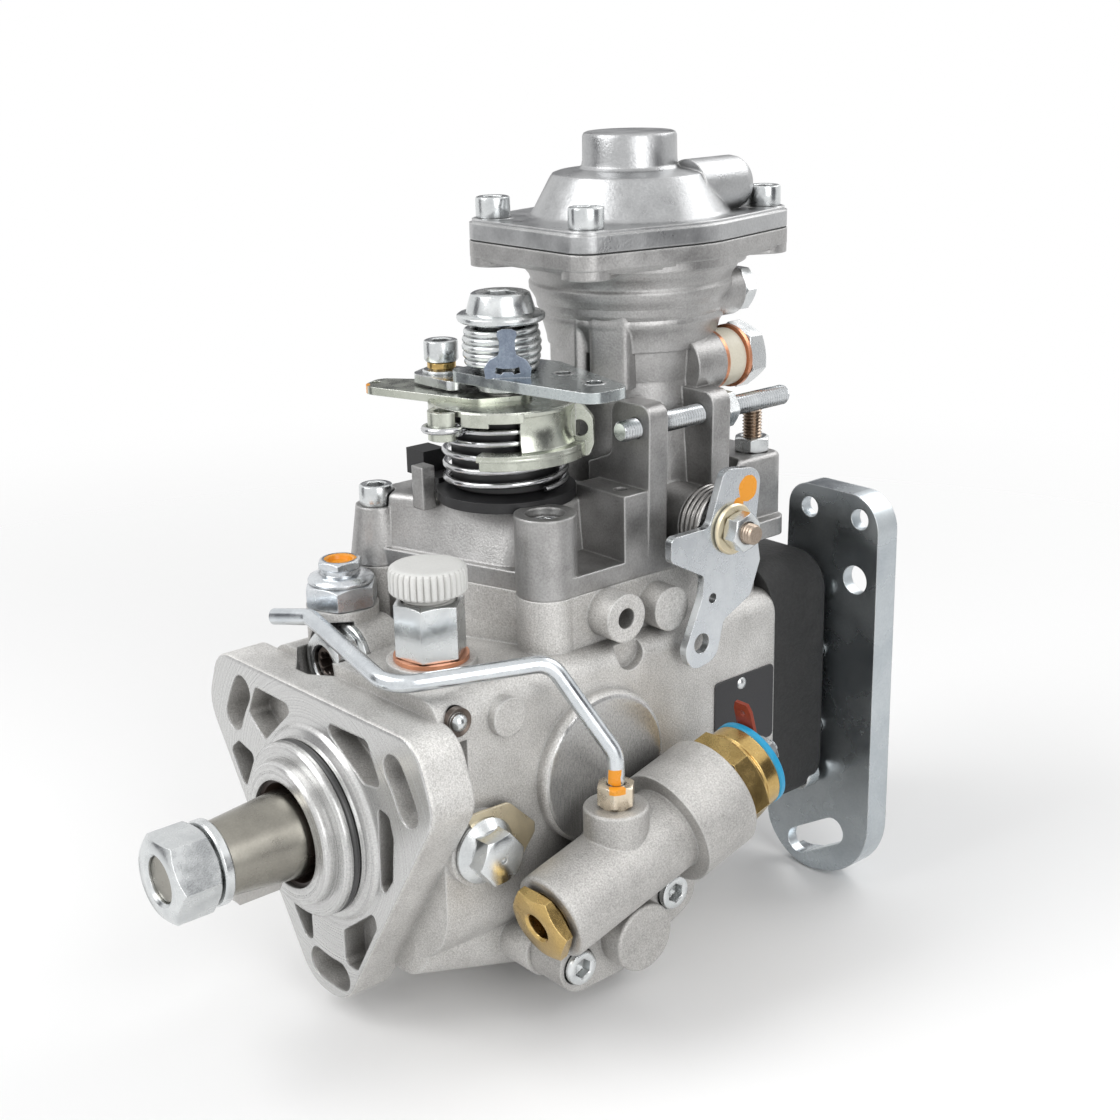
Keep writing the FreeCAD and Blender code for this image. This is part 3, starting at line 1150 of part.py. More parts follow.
def build():
    pieces = {"pump_housing": pump_housing(), "distributor_head": distributor_head(),
              "governor_cover": governor_cover()}
    for maker in (shaft_pieces, feed_pump, governor, governor_lever, cam_drive, timing_device,
                  delivery_valves,
                  rear_bracket, boost_unit, throttle, adjusting_screws, stop_lever, cold_start, fuel_pipe,
                  top_fittings, plugs_and_washers, all_screws):
        pieces.update(maker())
    return pieces


os.makedirs("parts", exist_ok=True)
for name, shape in build().items():
    shape.exportStep(f"parts/{name}.step")
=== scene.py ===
import math

import bmesh
import bpy
from mathutils import Matrix, Vector
from mathutils.geometry import convex_hull_2d


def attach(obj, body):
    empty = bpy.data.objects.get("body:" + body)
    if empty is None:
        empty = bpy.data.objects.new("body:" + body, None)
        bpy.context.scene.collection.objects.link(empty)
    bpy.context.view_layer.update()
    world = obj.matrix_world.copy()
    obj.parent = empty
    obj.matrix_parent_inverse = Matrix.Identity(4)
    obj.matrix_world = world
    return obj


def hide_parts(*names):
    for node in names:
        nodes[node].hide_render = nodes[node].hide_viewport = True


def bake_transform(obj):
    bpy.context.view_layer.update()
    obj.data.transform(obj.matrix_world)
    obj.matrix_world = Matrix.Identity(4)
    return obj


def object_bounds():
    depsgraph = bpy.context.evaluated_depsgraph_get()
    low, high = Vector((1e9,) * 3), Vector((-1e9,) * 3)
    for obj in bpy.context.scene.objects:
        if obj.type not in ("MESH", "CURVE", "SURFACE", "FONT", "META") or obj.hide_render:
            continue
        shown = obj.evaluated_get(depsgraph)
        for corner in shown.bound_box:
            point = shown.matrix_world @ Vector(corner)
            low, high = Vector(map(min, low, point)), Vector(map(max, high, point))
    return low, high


# A diesel injection pump. Meshes are worked out in millimetres and become metres when their object is
# made. The drive axis is Y, the shaft points to -Y, +Z is up and the flange's mounting face is y = 0.
mm = 0.001

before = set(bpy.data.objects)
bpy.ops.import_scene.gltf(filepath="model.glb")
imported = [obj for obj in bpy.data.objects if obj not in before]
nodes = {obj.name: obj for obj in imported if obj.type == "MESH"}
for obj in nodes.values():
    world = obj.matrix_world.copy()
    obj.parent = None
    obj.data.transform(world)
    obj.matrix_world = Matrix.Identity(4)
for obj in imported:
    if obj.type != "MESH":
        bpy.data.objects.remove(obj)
cad_low, cad_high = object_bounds()

x_axis, y_axis, z_axis = (1, 0, 0), (0, 1, 0), (0, 0, 1)

# Places that several pieces or finishes share, in millimetres

throttle_y = 70
boost_y = 119.5
boost_screw_r = 40.5
stop_y, stop_z = 114, 71
vent_x, vent_y = -25, 28
clamp_x, clamp_y = -22, 65
cold_x, cold_y, cold_z = 62, 55, -9.5
housing_side = 40


# Shader groups

def wired(tree, node, inputs):
    """Sets or links a node's inputs; gives its outputs."""
    for key, value in dict(inputs).items():
        if isinstance(value, bpy.types.NodeSocket):
            tree.links.new(value, node.inputs[key])
        else:
            node.inputs[key].default_value = value
    return node.outputs


def put(tree, kind, inputs=(), **settings):
    """A shader node with its inputs set or linked; gives its outputs."""
    node = tree.nodes.new("ShaderNode" + kind)
    for key, value in settings.items():
        setattr(node, key, value)
    return wired(tree, node, inputs)


def use(tree, group, inputs):
    """A shader group placed in a material, with its values."""
    node = tree.nodes.new("ShaderNodeGroup")
    node.node_tree = group
    return wired(tree, node, inputs)


def calc(tree, operation, a, b=0.0, c=0.0):
    return put(tree, "Math", {0: a, 1: b, 2: c}, operation=operation)[0]


def vector(tree, operation, a, b):
    return put(tree, "VectorMath", {0: a, 1: b}, operation=operation)


def mixed(tree, factor, a, b):
    """A colour between two colours."""
    return put(tree, "Mix", {0: factor, 6: a, 7: b}, data_type="RGBA")[2]


def between(tree, factor, a, b):
    """A value between two values."""
    return put(tree, "Mix", {0: factor, 2: a, 3: b}, data_type="FLOAT")[0]


def ranged(tree, value, low, high):
    """A value stretched so that low gives 0 and high gives 1."""
    return put(tree, "MapRange", {0: value, 1: low, 2: high, 3: 0.0, 4: 1.0})[0]


def noise(tree, place, size, detail, roughness):
    """Noise whose patches are about as wide as a size in metres."""
    scale = calc(tree, "DIVIDE", 1.0, size)
    return put(tree, "TexNoise", {"Vector": place, "Scale": scale, "Detail": detail,
                                  "Roughness": roughness})["Fac"]


def new_group(name, inputs, outputs):
    """An empty shader group from (name, kind, value) inputs and (name, kind) outputs."""
    tree = bpy.data.node_groups.new(name, "ShaderNodeTree")
    for label, kind, value in inputs:
        socket = tree.interface.new_socket(label, in_out="INPUT", socket_type="NodeSocket" + kind)
        socket.default_value = value
    for label, kind in outputs:
        tree.interface.new_socket(label, in_out="OUTPUT", socket_type="NodeSocket" + kind)
    return tree, tree.nodes.new("NodeGroupInput").outputs, tree.nodes.new("NodeGroupOutput").inputs


def skin_group():
    """Grainy metal or plastic skin: two tones, a roughness that wanders and a fine relief."""
    tree, given, out = new_group(
        "metal_skin",
        [("Light", "Color", (1, 1, 1, 1)), ("Dark", "Color", (0, 0, 0, 1)), ("Grain", "Float", 0.0006),
         ("Mottle", "Float", 0.012), ("Smooth", "Float", 0.3), ("Rough", "Float", 0.6),
         ("Speckle", "Float", 0.5)],
        [("Color", "Color"), ("Roughness", "Float"), ("Height", "Float")])
    place = put(tree, "TexCoord")["Object"]
    fine = noise(tree, place, given["Grain"], 3.0, 0.6)
    broad = noise(tree, place, given["Mottle"], 4.0, 0.55)
    grain = ranged(tree, fine, 0.3, 0.7)
    cloud = ranged(tree, broad, 0.3, 0.7)
    both = between(tree, given["Speckle"], cloud, grain)
    tree.links.new(mixed(tree, both, given["Dark"], given["Light"]), out["Color"])
    tree.links.new(between(tree, cloud, given["Smooth"], given["Rough"]), out["Roughness"])
    tree.links.new(fine, out["Height"])
    return tree


def edge_group():
    """Rounded normals near an edge, and a mask of the edges, where rubbing and a painted highlight lighten
    the colour.
    """
    tree, given, out = new_group("soft_edges", [("Radius", "Float", 0.0006)],
                                 [("Mask", "Float"), ("Normal", "Vector")])
    rounded_off = put(tree, "Bevel", {"Radius": given["Radius"]}, samples=4)[0]
    flat = put(tree, "NewGeometry")["Normal"]
    same = vector(tree, "DOT_PRODUCT", rounded_off, flat)["Value"]
    tree.links.new(ranged(tree, same, 0.99, 0.75), out["Mask"])
    tree.links.new(rounded_off, out["Normal"])
    return tree


def crevice_group():
    """A mask of corners and hollows, where shade is painted into the colour."""
    tree, given, out = new_group("crevices", [("Distance", "Float", 0.004)], [("Mask", "Float")])
    open_sky = put(tree, "AmbientOcclusion", {"Distance": given["Distance"]}, samples=4)["AO"]
    tree.links.new(ranged(tree, open_sky, 0.75, 0.15), out["Mask"])
    return tree


def round_axis(tree, given):
    """A point's place, its height along the group's axis and its distance from that axis."""
    place = put(tree, "TexCoord")["Object"]
    arm = vector(tree, "SUBTRACT", place, given["Centre"])["Vector"]
    along = vector(tree, "DOT_PRODUCT", arm, given["Axis"])["Value"]
    lift = put(tree, "VectorMath", {0: given["Axis"], "Scale": along}, operation="SCALE")["Vector"]
    across = vector(tree, "SUBTRACT", arm, lift)["Vector"]
    return place, along, put(tree, "VectorMath", {0: across}, operation="LENGTH")["Value"]


def turning_group():
    """Rings round an axis, as a lathe leaves them on faces and on cylinders."""
    tree, given, out = new_group(
        "turning_marks",
        [("Centre", "Vector", (0, 0, 0)), ("Axis", "Vector", y_axis), ("Pitch", "Float", 0.0005)],
        [("Height", "Float")])
    place, along, radius = round_axis(tree, given)
    ring = calc(tree, "DIVIDE", radius, given["Pitch"])
    row = calc(tree, "DIVIDE", along, given["Pitch"])
    both = put(tree, "CombineXYZ", {0: ring, 1: row})[0]
    marks = put(tree, "TexNoise", {"Vector": both, "Scale": 1.0, "Detail": 1.0})["Fac"]
    tree.links.new(marks, out["Height"])
    return tree


def zone_group():
    """1 inside a cylinder given by its centre, axis, radius and ends, with an edge that may wander."""
    tree, given, out = new_group(
        "zone",
        [("Centre", "Vector", (0, 0, 0)), ("Axis", "Vector", y_axis), ("Radius", "Float", 0.01),
         ("Low", "Float", -0.01), ("High", "Float", 0.01), ("Wander", "Float", 0.0)],
        [("Mask", "Float")])
    place, along, radius = round_axis(tree, given)
    waves = put(tree, "TexNoise", {"Vector": place, "Scale": 300.0, "Detail": 2.0})["Fac"]
    shift = calc(tree, "MULTIPLY", calc(tree, "SUBTRACT", waves, 0.5), given["Wander"])
    height = calc(tree, "ADD", along, shift)
    inside = calc(tree, "LESS_THAN", calc(tree, "ADD", radius, shift), given["Radius"])
    above = calc(tree, "GREATER_THAN", height, given["Low"])
    below = calc(tree, "LESS_THAN", height, given["High"])
    tree.links.new(calc(tree, "MULTIPLY", calc(tree, "MULTIPLY", inside, above), below), out["Mask"])
    return tree


skin, soft_edges, crevices = skin_group(), edge_group(), crevice_group()
turning, zone = turning_group(), zone_group()


# Materials

def colour(r, g, b):
    return (r, g, b, 1.0)


# Pale colour of edges lightened by rubbing and a painted highlight.
pale_edge = colour(0.80, 0.80, 0.79)
# Dark colour of the painted shade in corners and hollows.
painted_shade_colour = colour(0.10, 0.095, 0.09)
bright_aluminium = colour(0.72, 0.72, 0.71)
dull_aluminium = colour(*[0.55 * c for c in bright_aluminium[:3]])
orange_paint = colour(0.83, 0.33, 0.02)

turned_pitch = 0.45      # millimetres between the rings that a lathe leaves
turned_grains = 0.55     # share of the casting's grains among those rings
turned_rough = 0.24
turned_height = 0.35     # of the rings, as a share of the relief
bump_height = 0.25       # millimetres
paint_wander = 1.2       # millimetres that the edge of a dab of paint strays

# Machined and painted places: centre, axis, radius and ends, in millimetres

pilot = ((0, 0, 0), y_axis, 28.6, -13, 0.05)
flange_face = ((0, 0, 0), y_axis, 80, -0.3, 0.25)
side_disc = ((45, 67, 10), x_axis, 21.6, -0.4, 0.4)
vent_paint = ((vent_x, vent_y, 64.3), z_axis, 4.6, -1.4, 2.0)
lever_tip_paint = ((-37.5, 46.5, 109.5), z_axis, 3.2, -3.0, 3.0)
pipe_paint = ((63.6, 53.0, 17.6), z_axis, 2.0, -2.0, 2.4)
union_paint = ((65.2, 52.6, 15.5), z_axis, 2.2, -1.6, 0.8)
stop_paint = ((47.5, 120.5, 81.7), x_axis, 3.8, -0.9, 0.9)
stop_paint_run = ((47.5, 116.5, 77.7), x_axis, 2.0, -0.9, 0.9)


def zone_mask(tree, zones, wander=0.0):
    """The union of several places."""
    mask = None
    for centre, axis, radius, low, high in zones:
        here = use(tree, zone, {"Centre": [c * mm for c in centre], "Axis": axis, "Radius": radius * mm,
                                "Low": low * mm, "High": high * mm, "Wander": wander * mm})["Mask"]
        mask = here if mask is None else calc(tree, "MAXIMUM", mask, here)
    return mask


def new_material(name):
    """An empty material; gives it and its tree."""
    material = bpy.data.materials.new(name)
    material.use_nodes = True
    material.node_tree.nodes.clear()
    return material, material.node_tree


def show_surface(tree, shader):
    tree.links.new(shader, tree.nodes.new("ShaderNodeOutputMaterial").inputs["Surface"])


def finish(name, light, dark, metallic, smooth, rough, grain=0.6, mottle=12.0, speckle=0.5, relief=0.15,
           edge=0.5, rubbed_and_highlit_edge=None, rubbed_and_highlit_share=0.5, shade=None, shade_amount=0.5, hollow=5.0, machined=(), painted=()):
    """A material: skin, edges lightened by rubbing and a painted highlight, and painted shade in hollows,
    with optional machined and painted places.

    Grain, mottle, edge and hollow are in millimetres.
    """
    material, tree = new_material(name)
    main = use(tree, skin, {"Light": light, "Dark": dark, "Grain": grain * mm, "Mottle": mottle * mm,
                            "Smooth": smooth, "Rough": rough, "Speckle": speckle})
    base, roughness, height = main["Color"], main["Roughness"], main["Height"]
    edges = use(tree, soft_edges, {"Radius": edge * mm})
    if machined:
        mask = zone_mask(tree, machined)
        cut = use(tree, turning, {"Pitch": turned_pitch * mm})["Height"]
        rings = ranged(tree, cut, 0.35, 0.62)
        grains = ranged(tree, height, 0.36, 0.62)
        patch = between(tree, turned_grains, rings, grains)
        base = mixed(tree, mask, base, mixed(tree, patch, dull_aluminium, bright_aluminium))
        roughness = between(tree, mask, roughness, turned_rough)
        height = between(tree, mask, height, calc(tree, "MULTIPLY", cut, turned_height))
    # Painted highlight with rubbing: the colour lightens along the rounded edges.
    if rubbed_and_highlit_edge:
        base = mixed(tree, calc(tree, "MULTIPLY", edges["Mask"], rubbed_and_highlit_share), base, rubbed_and_highlit_edge)
    # Painted shade: the colour darkens towards the shade colour in corners and hollows.
    if shade:
        deep = use(tree, crevices, {"Distance": hollow * mm})["Mask"]
        base = mixed(tree, calc(tree, "MULTIPLY", deep, shade_amount), base, shade)
    body = tree.nodes.new("ShaderNodeBsdfPrincipled")
    body.inputs["Metallic"].default_value = metallic
    if painted:
        mask = zone_mask(tree, painted, paint_wander)
        base = mixed(tree, mask, base, orange_paint)
        unpainted = calc(tree, "SUBTRACT", 1.0, mask)
        tree.links.new(calc(tree, "MULTIPLY", unpainted, metallic), body.inputs["Metallic"])
    bump = put(tree, "Bump", {"Strength": relief, "Distance": bump_height * mm, "Height": height,
                              "Normal": edges["Normal"]})
    for label, value in {"Base Color": base, "Roughness": roughness, "Normal": bump["Normal"]}.items():
        tree.links.new(value, body.inputs[label])
    show_surface(tree, body.outputs["BSDF"])
    return material


# A shade colour paints shade into corners and hollows; an edge colour paints a highlight, with rubbing,
# along the edges.
housing_metal = finish(
    "sand_cast_housing", colour(0.86, 0.85, 0.83), colour(0.38, 0.37, 0.355), 0.7, 0.42, 0.58, grain=0.45,
    speckle=0.72, relief=0.75, edge=0.9, rubbed_and_highlit_edge=pale_edge, shade=painted_shade_colour, shade_amount=0.75, hollow=11.0,
    machined=[pilot, flange_face, side_disc])
cover_metal = finish(
    "die_cast_cover", colour(0.50, 0.495, 0.49), colour(0.27, 0.265, 0.26), 0.85, 0.32, 0.48, mottle=9.0,
    relief=0.4, edge=0.9, rubbed_and_highlit_edge=colour(0.66, 0.66, 0.65), rubbed_and_highlit_share=0.6, shade=painted_shade_colour, shade_amount=0.45,
    hollow=8.0)
boost_metal = finish(
    "die_cast_boost_lid", colour(0.51, 0.515, 0.52), colour(0.33, 0.335, 0.34), 0.9, 0.26, 0.42, grain=0.7,
    mottle=10.0, speckle=0.4, relief=0.3, edge=0.8, rubbed_and_highlit_edge=pale_edge, rubbed_and_highlit_share=0.6, shade=painted_shade_colour)
valve_body_metal = finish(
    "cast_valve_body", colour(0.66, 0.65, 0.63), colour(0.30, 0.29, 0.28), 0.75, 0.42, 0.58, grain=0.45,
    speckle=0.7, relief=0.7, edge=0.9, rubbed_and_highlit_edge=pale_edge, shade=painted_shade_colour, shade_amount=0.7, hollow=8.0)
black_cast = finish(
    "black_cast_head", colour(0.034, 0.034, 0.034), colour(0.012, 0.012, 0.012), 0.1, 0.5, 0.7, grain=1.1,
    mottle=7.0, relief=0.8, edge=1.0, rubbed_and_highlit_edge=colour(0.12, 0.12, 0.12), rubbed_and_highlit_share=0.4)
zinc = finish(
    "zinc_plate", colour(0.76, 0.78, 0.78), colour(0.53, 0.55, 0.56), 1.0, 0.16, 0.34, grain=0.5,
    mottle=6.0, speckle=0.25, relief=0.06, edge=0.35, rubbed_and_highlit_edge=pale_edge, rubbed_and_highlit_share=0.4, shade=painted_shade_colour)
# Zinc of the threads, darker than the plain zinc, with strong painted shade in the thread roots.
thread_zinc = finish(
    "zinc_thread", colour(0.66, 0.68, 0.69), colour(0.44, 0.46, 0.48), 1.0, 0.18, 0.34, grain=0.5,
    mottle=6.0, relief=0.02, edge=0.04, shade=colour(0.05, 0.05, 0.05), shade_amount=0.8, hollow=0.8)
bracket_zinc = finish(
    "zinc_bracket", colour(0.62, 0.66, 0.68), colour(0.42, 0.46, 0.49), 1.0, 0.20, 0.36, grain=0.8,
    mottle=16.0, speckle=0.3, relief=0.08, rubbed_and_highlit_edge=pale_edge, rubbed_and_highlit_share=0.4)
ground_steel = finish(
    "ground_steel", colour(0.34, 0.325, 0.285), colour(0.22, 0.21, 0.185), 1.0, 0.22, 0.34, speckle=0.3,
    relief=0.05, edge=0.3, rubbed_and_highlit_edge=pale_edge, rubbed_and_highlit_share=0.4)
plain_steel = finish(
    "plain_steel", colour(0.55, 0.54, 0.52), colour(0.36, 0.35, 0.34), 1.0, 0.25, 0.40, relief=0.06,
    edge=0.3)
spring_steel = finish(
    "spring_steel", colour(0.66, 0.67, 0.68), colour(0.42, 0.42, 0.43), 1.0, 0.14, 0.26, grain=0.4,
    relief=0.04, edge=0.2)
seal_rubber = finish(
    "seal_rubber", colour(0.05, 0.028, 0.018), colour(0.02, 0.012, 0.010), 0.0, 0.38, 0.55, relief=0.08,
    edge=0.2)
black_plastic = finish(
    "black_plastic", colour(0.018, 0.018, 0.019), colour(0.008, 0.008, 0.009), 0.0, 0.36, 0.50,
    relief=0.08, edge=0.3)
white_plastic = finish(
    "white_cap_plastic", colour(0.78, 0.78, 0.76), colour(0.68, 0.68, 0.66), 0.0, 0.34, 0.46, relief=0.04,
    edge=0.4, shade=colour(0.38, 0.37, 0.35), hollow=3.0)
copper = finish(
    "copper", colour(0.72, 0.34, 0.20), colour(0.50, 0.22, 0.13), 1.0, 0.26, 0.40, relief=0.06, edge=0.2)
brass = finish(
    "brass", colour(0.66, 0.47, 0.19), colour(0.46, 0.31, 0.11), 1.0, 0.16, 0.32, mottle=6.0, relief=0.08,
    edge=0.35, rubbed_and_highlit_edge=colour(0.88, 0.72, 0.38), shade=colour(0.14, 0.08, 0.025), shade_amount=0.6)
vent_zinc = finish(
    "zinc_vent_with_paint", colour(0.72, 0.74, 0.76), colour(0.50, 0.53, 0.56), 1.0, 0.16, 0.34,
    mottle=6.0, relief=0.06, edge=0.35, rubbed_and_highlit_edge=pale_edge, rubbed_and_highlit_share=0.4, shade=painted_shade_colour, painted=[vent_paint])
rubber_black = finish(
    "o_ring_rubber", colour(0.075, 0.075, 0.075), colour(0.035, 0.035, 0.035), 0.0, 0.3, 0.42, relief=0.03,
    edge=0.2)
# Steel of the stud's thread, with strong painted shade in the thread roots.
brown_steel = finish(
    "brown_thread_steel", colour(0.50, 0.42, 0.35), colour(0.26, 0.20, 0.15), 1.0, 0.25, 0.42, relief=0.05,
    edge=0.04, shade=colour(0.05, 0.035, 0.025), shade_amount=0.8, hollow=0.8)
dark_spring_steel = finish(
    "dark_spring_steel", colour(0.32, 0.31, 0.30), colour(0.17, 0.165, 0.16), 1.0, 0.18, 0.32, grain=0.4,
    relief=0.05, edge=0.2)
yellow_zinc = finish(
    "yellow_passivated_zinc", colour(0.80, 0.70, 0.50), colour(0.66, 0.58, 0.42), 1.0, 0.24, 0.40,
    mottle=5.0, speckle=0.3, relief=0.08, edge=0.3, rubbed_and_highlit_edge=pale_edge, shade=painted_shade_colour, shade_amount=0.3)
yellow_green_zinc = finish(
    "yellow_green_zinc", colour(0.62, 0.64, 0.57), colour(0.42, 0.44, 0.38), 1.0, 0.20, 0.36, mottle=5.0,
    speckle=0.3, relief=0.08, edge=0.35, rubbed_and_highlit_edge=pale_edge, shade=painted_shade_colour, painted=[lever_tip_paint])
blue_zinc = finish(
    "blue_zinc", colour(0.60, 0.64, 0.64), colour(0.40, 0.44, 0.45), 1.0, 0.18, 0.34, mottle=6.0,
    relief=0.06, edge=0.3, rubbed_and_highlit_edge=pale_edge, shade=painted_shade_colour)
dark_blue_zinc = finish(
    "dark_blue_zinc", colour(0.30, 0.35, 0.42), colour(0.15, 0.18, 0.24), 1.0, 0.18, 0.32, mottle=4.0,
    relief=0.06, edge=0.3, rubbed_and_highlit_edge=pale_edge)
blue_plastic = finish(
    "blue_plastic_ring", colour(0.02, 0.36, 0.62), colour(0.01, 0.26, 0.48), 0.0, 0.3, 0.42, relief=0.05,
    edge=0.3)
red_plastic = finish(
    "red_brown_terminal", colour(0.30, 0.045, 0.018), colour(0.20, 0.028, 0.012), 0.0, 0.36, 0.5,
    relief=0.08, edge=0.3)
cream_plastic = finish(
    "cream_sleeve", colour(0.72, 0.68, 0.57), colour(0.60, 0.56, 0.45), 0.0, 0.34, 0.46, relief=0.05,
    edge=0.3)
name_plate_black = finish(
    "black_name_plate", colour(0.028, 0.028, 0.032), colour(0.016, 0.016, 0.018), 0.0, 0.34, 0.46,
    relief=0.06, edge=0.3, rubbed_and_highlit_edge=colour(0.3, 0.3, 0.3))
dark_insert = finish(
    "dark_insert", colour(0.16, 0.13, 0.11), colour(0.07, 0.055, 0.05), 0.8, 0.3, 0.45, relief=0.06,
    edge=0.2, rubbed_and_highlit_edge=colour(0.5, 0.46, 0.42))
gasket = finish(
    "dark_gasket", colour(0.02, 0.02, 0.02), colour(0.01, 0.01, 0.01), 0.0, 0.5, 0.6, relief=0.03,
    edge=0.1)
pipe_zinc = finish(
    "zinc_pipe", colour(0.72, 0.75, 0.77), colour(0.52, 0.55, 0.58), 1.0, 0.16, 0.32, mottle=7.0,
    speckle=0.25, relief=0.05, edge=0.2, shade=painted_shade_colour, painted=[pipe_paint])
union_zinc = finish(
    "yellow_zinc_union", colour(0.80, 0.70, 0.56), colour(0.60, 0.52, 0.40), 1.0, 0.20, 0.36, mottle=4.0,
    relief=0.06, edge=0.3, rubbed_and_highlit_edge=pale_edge, shade=painted_shade_colour, painted=[union_paint])
stop_zinc = finish(
    "zinc_stop_lever_with_paint", colour(0.74, 0.77, 0.79), colour(0.56, 0.59, 0.62), 1.0, 0.20, 0.36,
    mottle=7.0, speckle=0.25, relief=0.06, edge=0.35, rubbed_and_highlit_edge=pale_edge, rubbed_and_highlit_share=0.4, shade=painted_shade_colour,
    painted=[stop_paint, stop_paint_run])

finish_of_node = {
    housing_metal: ["pump_housing", "timing_cover"],
    cover_metal: ["governor_cover"],
    boost_metal: ["boost_cover"],
    valve_body_metal: ["cold_start_housing"],
    black_cast: ["distributor_head"],
    bracket_zinc: ["rear_bracket"],
    zinc: ["shaft_nut", "socket_screws", "adjusting_screws", "stop_shaft", "throttle_lever",
           "throttle_top_nut", "inlet_fitting", "regulating_valve", "overflow_fitting", "closing_plugs",
           "fuel_pipe", "throttle_upper_spring", "delivery_valves"],
    ground_steel: ["drive_shaft"],
    stop_zinc: ["stop_lever"],
    yellow_green_zinc: ["throttle_stop_bracket"],
    spring_steel: ["throttle_return_spring", "stop_lever_spring", "plunger_springs", "timing_spring",
                   "boost_spring", "governor_spring"],
    seal_rubber: ["shaft_seal"],
    rubber_black: ["pilot_o_ring", "boost_diaphragm"],
    black_plastic: ["throttle_spring_seat"],
    white_plastic: ["inlet_cap"],
    copper: ["copper_washers"],
    brass: ["cold_start_plug", "solenoid", "shaft_bush"],
    vent_zinc: ["vent_valve"],
}
for node in nodes.values():
    node.data.materials.clear()
    node.data.materials.append(plain_steel)
for material, names in finish_of_node.items():
    for name in names:
        nodes[name].data.materials[0] = material


# Shapes of the pieces, in millimetres

flat_share = 0.47        # of a hexagon's size, the radius where its chamfer starts
chamfer = 0.577          # rise of a chamfer of 30 degrees for each millimetre outwards


def shown(name, data):
    """A new object in the scene."""
    item = bpy.data.objects.new(name, data)
    bpy.context.scene.collection.objects.link(item)
    return item


def laid(axis, place, turn=0.0):
    """Lays a shape made along Z along another axis, at a place and turned about itself."""
    rows = {"x": ((0, 0, 1), (1, 0, 0), (0, 1, 0)), "y": ((1, 0, 0), (0, 0, 1), (0, -1, 0)),
            "z": ((1, 0, 0), (0, 1, 0), (0, 0, 1))}[axis]
    return Matrix.Translation(place) @ Matrix(rows).to_4x4() @ Matrix.Rotation(math.radians(turn), 4, "Z")


upright = laid("z", (0, 0, 0))


def stood(place, turn):
    """Stands a flat shape upright at a place, turned about the vertical."""
    return (Matrix.Translation(place) @ Matrix.Rotation(math.radians(turn), 4, "Z")
            @ Matrix.Rotation(math.radians(90.0), 4, "X"))


def side_reach(angle, across):
    """How far a hexagon reaches from its middle at an angle."""
    return across / 2 / math.cos(angle % (math.pi / 3) - math.pi / 6)


def round_body(shape, lay, profile, sides=48, finish_index=0, open_ends=False):
    """A body turned about its axis from (radius, height) points.

    A point with "hex" follows a hexagon of that size, and one with "rib" dips between narrow ribs.
    """
    rings = []
    for r0, z0, *form in profile:
        ring = []
        for i in range(sides):
            angle = 2 * math.pi * i / sides
            r, z = r0, z0
            if form and form[0] == "hex":
                r = side_reach(angle, r0)
                z = z0 - form[1] * (r - flat_share * r0)
            elif form:
                r = r0 - form[1] * max(0.0, math.cos(form[2] * angle)) ** 3
            ring.append(shape.verts.new(lay @ Vector((r * math.cos(angle), r * math.sin(angle), z))))
        rings.append(ring)
    if profile[0][0] and profile[-1][0] and not open_ends:
        rings.append(rings[0])
    for low, high in zip(rings, rings[1:]):
        for i in range(sides):
            j = (i + 1) % sides
            shape.faces.new((low[i], low[j], high[j], high[i])).material_index = finish_index


def hexagon_body(shape, lay, across, low, high, bore=0.0, finish_index=0, lower_chamfer=chamfer):
    """A hexagon with both ends chamfered, bored through or solid."""
    flat, lead = flat_share * across, 0.6
    inner = [(bore + lead, low), (bore, low + lead), (bore, high - lead), (bore + lead, high)]
    around = [(flat, high), (across, high, "hex", chamfer), (across, low, "hex", -lower_chamfer),
              (flat, low)]
    profile = inner + around if bore else [(0, high)] + around + [(0, low)]
    round_body(shape, lay, profile, 48, finish_index)


def ring_body(shape, lay, outer, bore, low, high, soft=0.3, finish_index=0):
    """A flat ring or disc with softened rims."""
    around = [(outer - soft, low), (outer, low + soft), (outer, high - soft), (outer - soft, high)]
    profile = [(bore, high), (bore, low)] + around if bore else [(0, low)] + around + [(0, high)]
    round_body(shape, lay, profile, 64, finish_index)


def threaded_rod(shape, lay, r, low, high, pitch=1.0, finish_index=0, sides=28, bore=0.0):
    """A rod with a cut thread and chamfered ends, solid or with a bore that opens in a cone at the top."""
    steps = 6
    depth = 0.55 * pitch
    end_slope = 1.2
    cone_r, cone_depth = 2.6, 1.4
    levels = range(int((low - pitch) / pitch * steps), int((high + pitch) / pitch * steps) + 1)
    columns = []
    for i in range(sides + 1):
        angle = 2 * math.pi * i / sides
        column = []
        for level in levels:
            z = min(max((level / steps + i / sides) * pitch, low), high)
            wave = abs((level % steps) / steps - 0.5) * 2
            cut = r - depth * (1 - wave)
            reach = min(cut, r - depth + min(z - low, high - z) * end_slope)
            spot = Vector((reach * math.cos(angle), reach * math.sin(angle), z))
            column.append(shape.verts.new(lay @ spot))
        columns.append(column)
    for left, right in zip(columns, columns[1:]):
        for a, b, c, d in zip(left, right, right[1:], left[1:]):
            shape.faces.new((a, b, c, d)).material_index = finish_index
    root = r - depth
    if bore:
        inside = [(root, low), (bore, low), (bore, high - cone_depth), (cone_r, high), (root, high)]
        round_body(shape, lay, inside, sides, finish_index, True)
        return
    for z in (low, high):
        round_body(shape, lay, [(0, z), (root, z)], sides, finish_index)


def arc_corner(before, here, after, r):
    """Points of the arc that rounds one corner of an outline."""
    here = Vector(here)
    back = (Vector(before) - here).normalized()
    ahead = (Vector(after) - here).normalized()
    half = back.angle(ahead) / 2
    middle = here + (back + ahead).normalized() * (r / math.sin(half))
    start = here + back * (r / math.tan(half)) - middle
    turn = ahead.angle_signed(back) - math.copysign(math.pi, ahead.angle_signed(back))
    steps = 6
    return [middle + Matrix.Rotation(turn * i / steps, 2) @ start for i in range(steps + 1)]


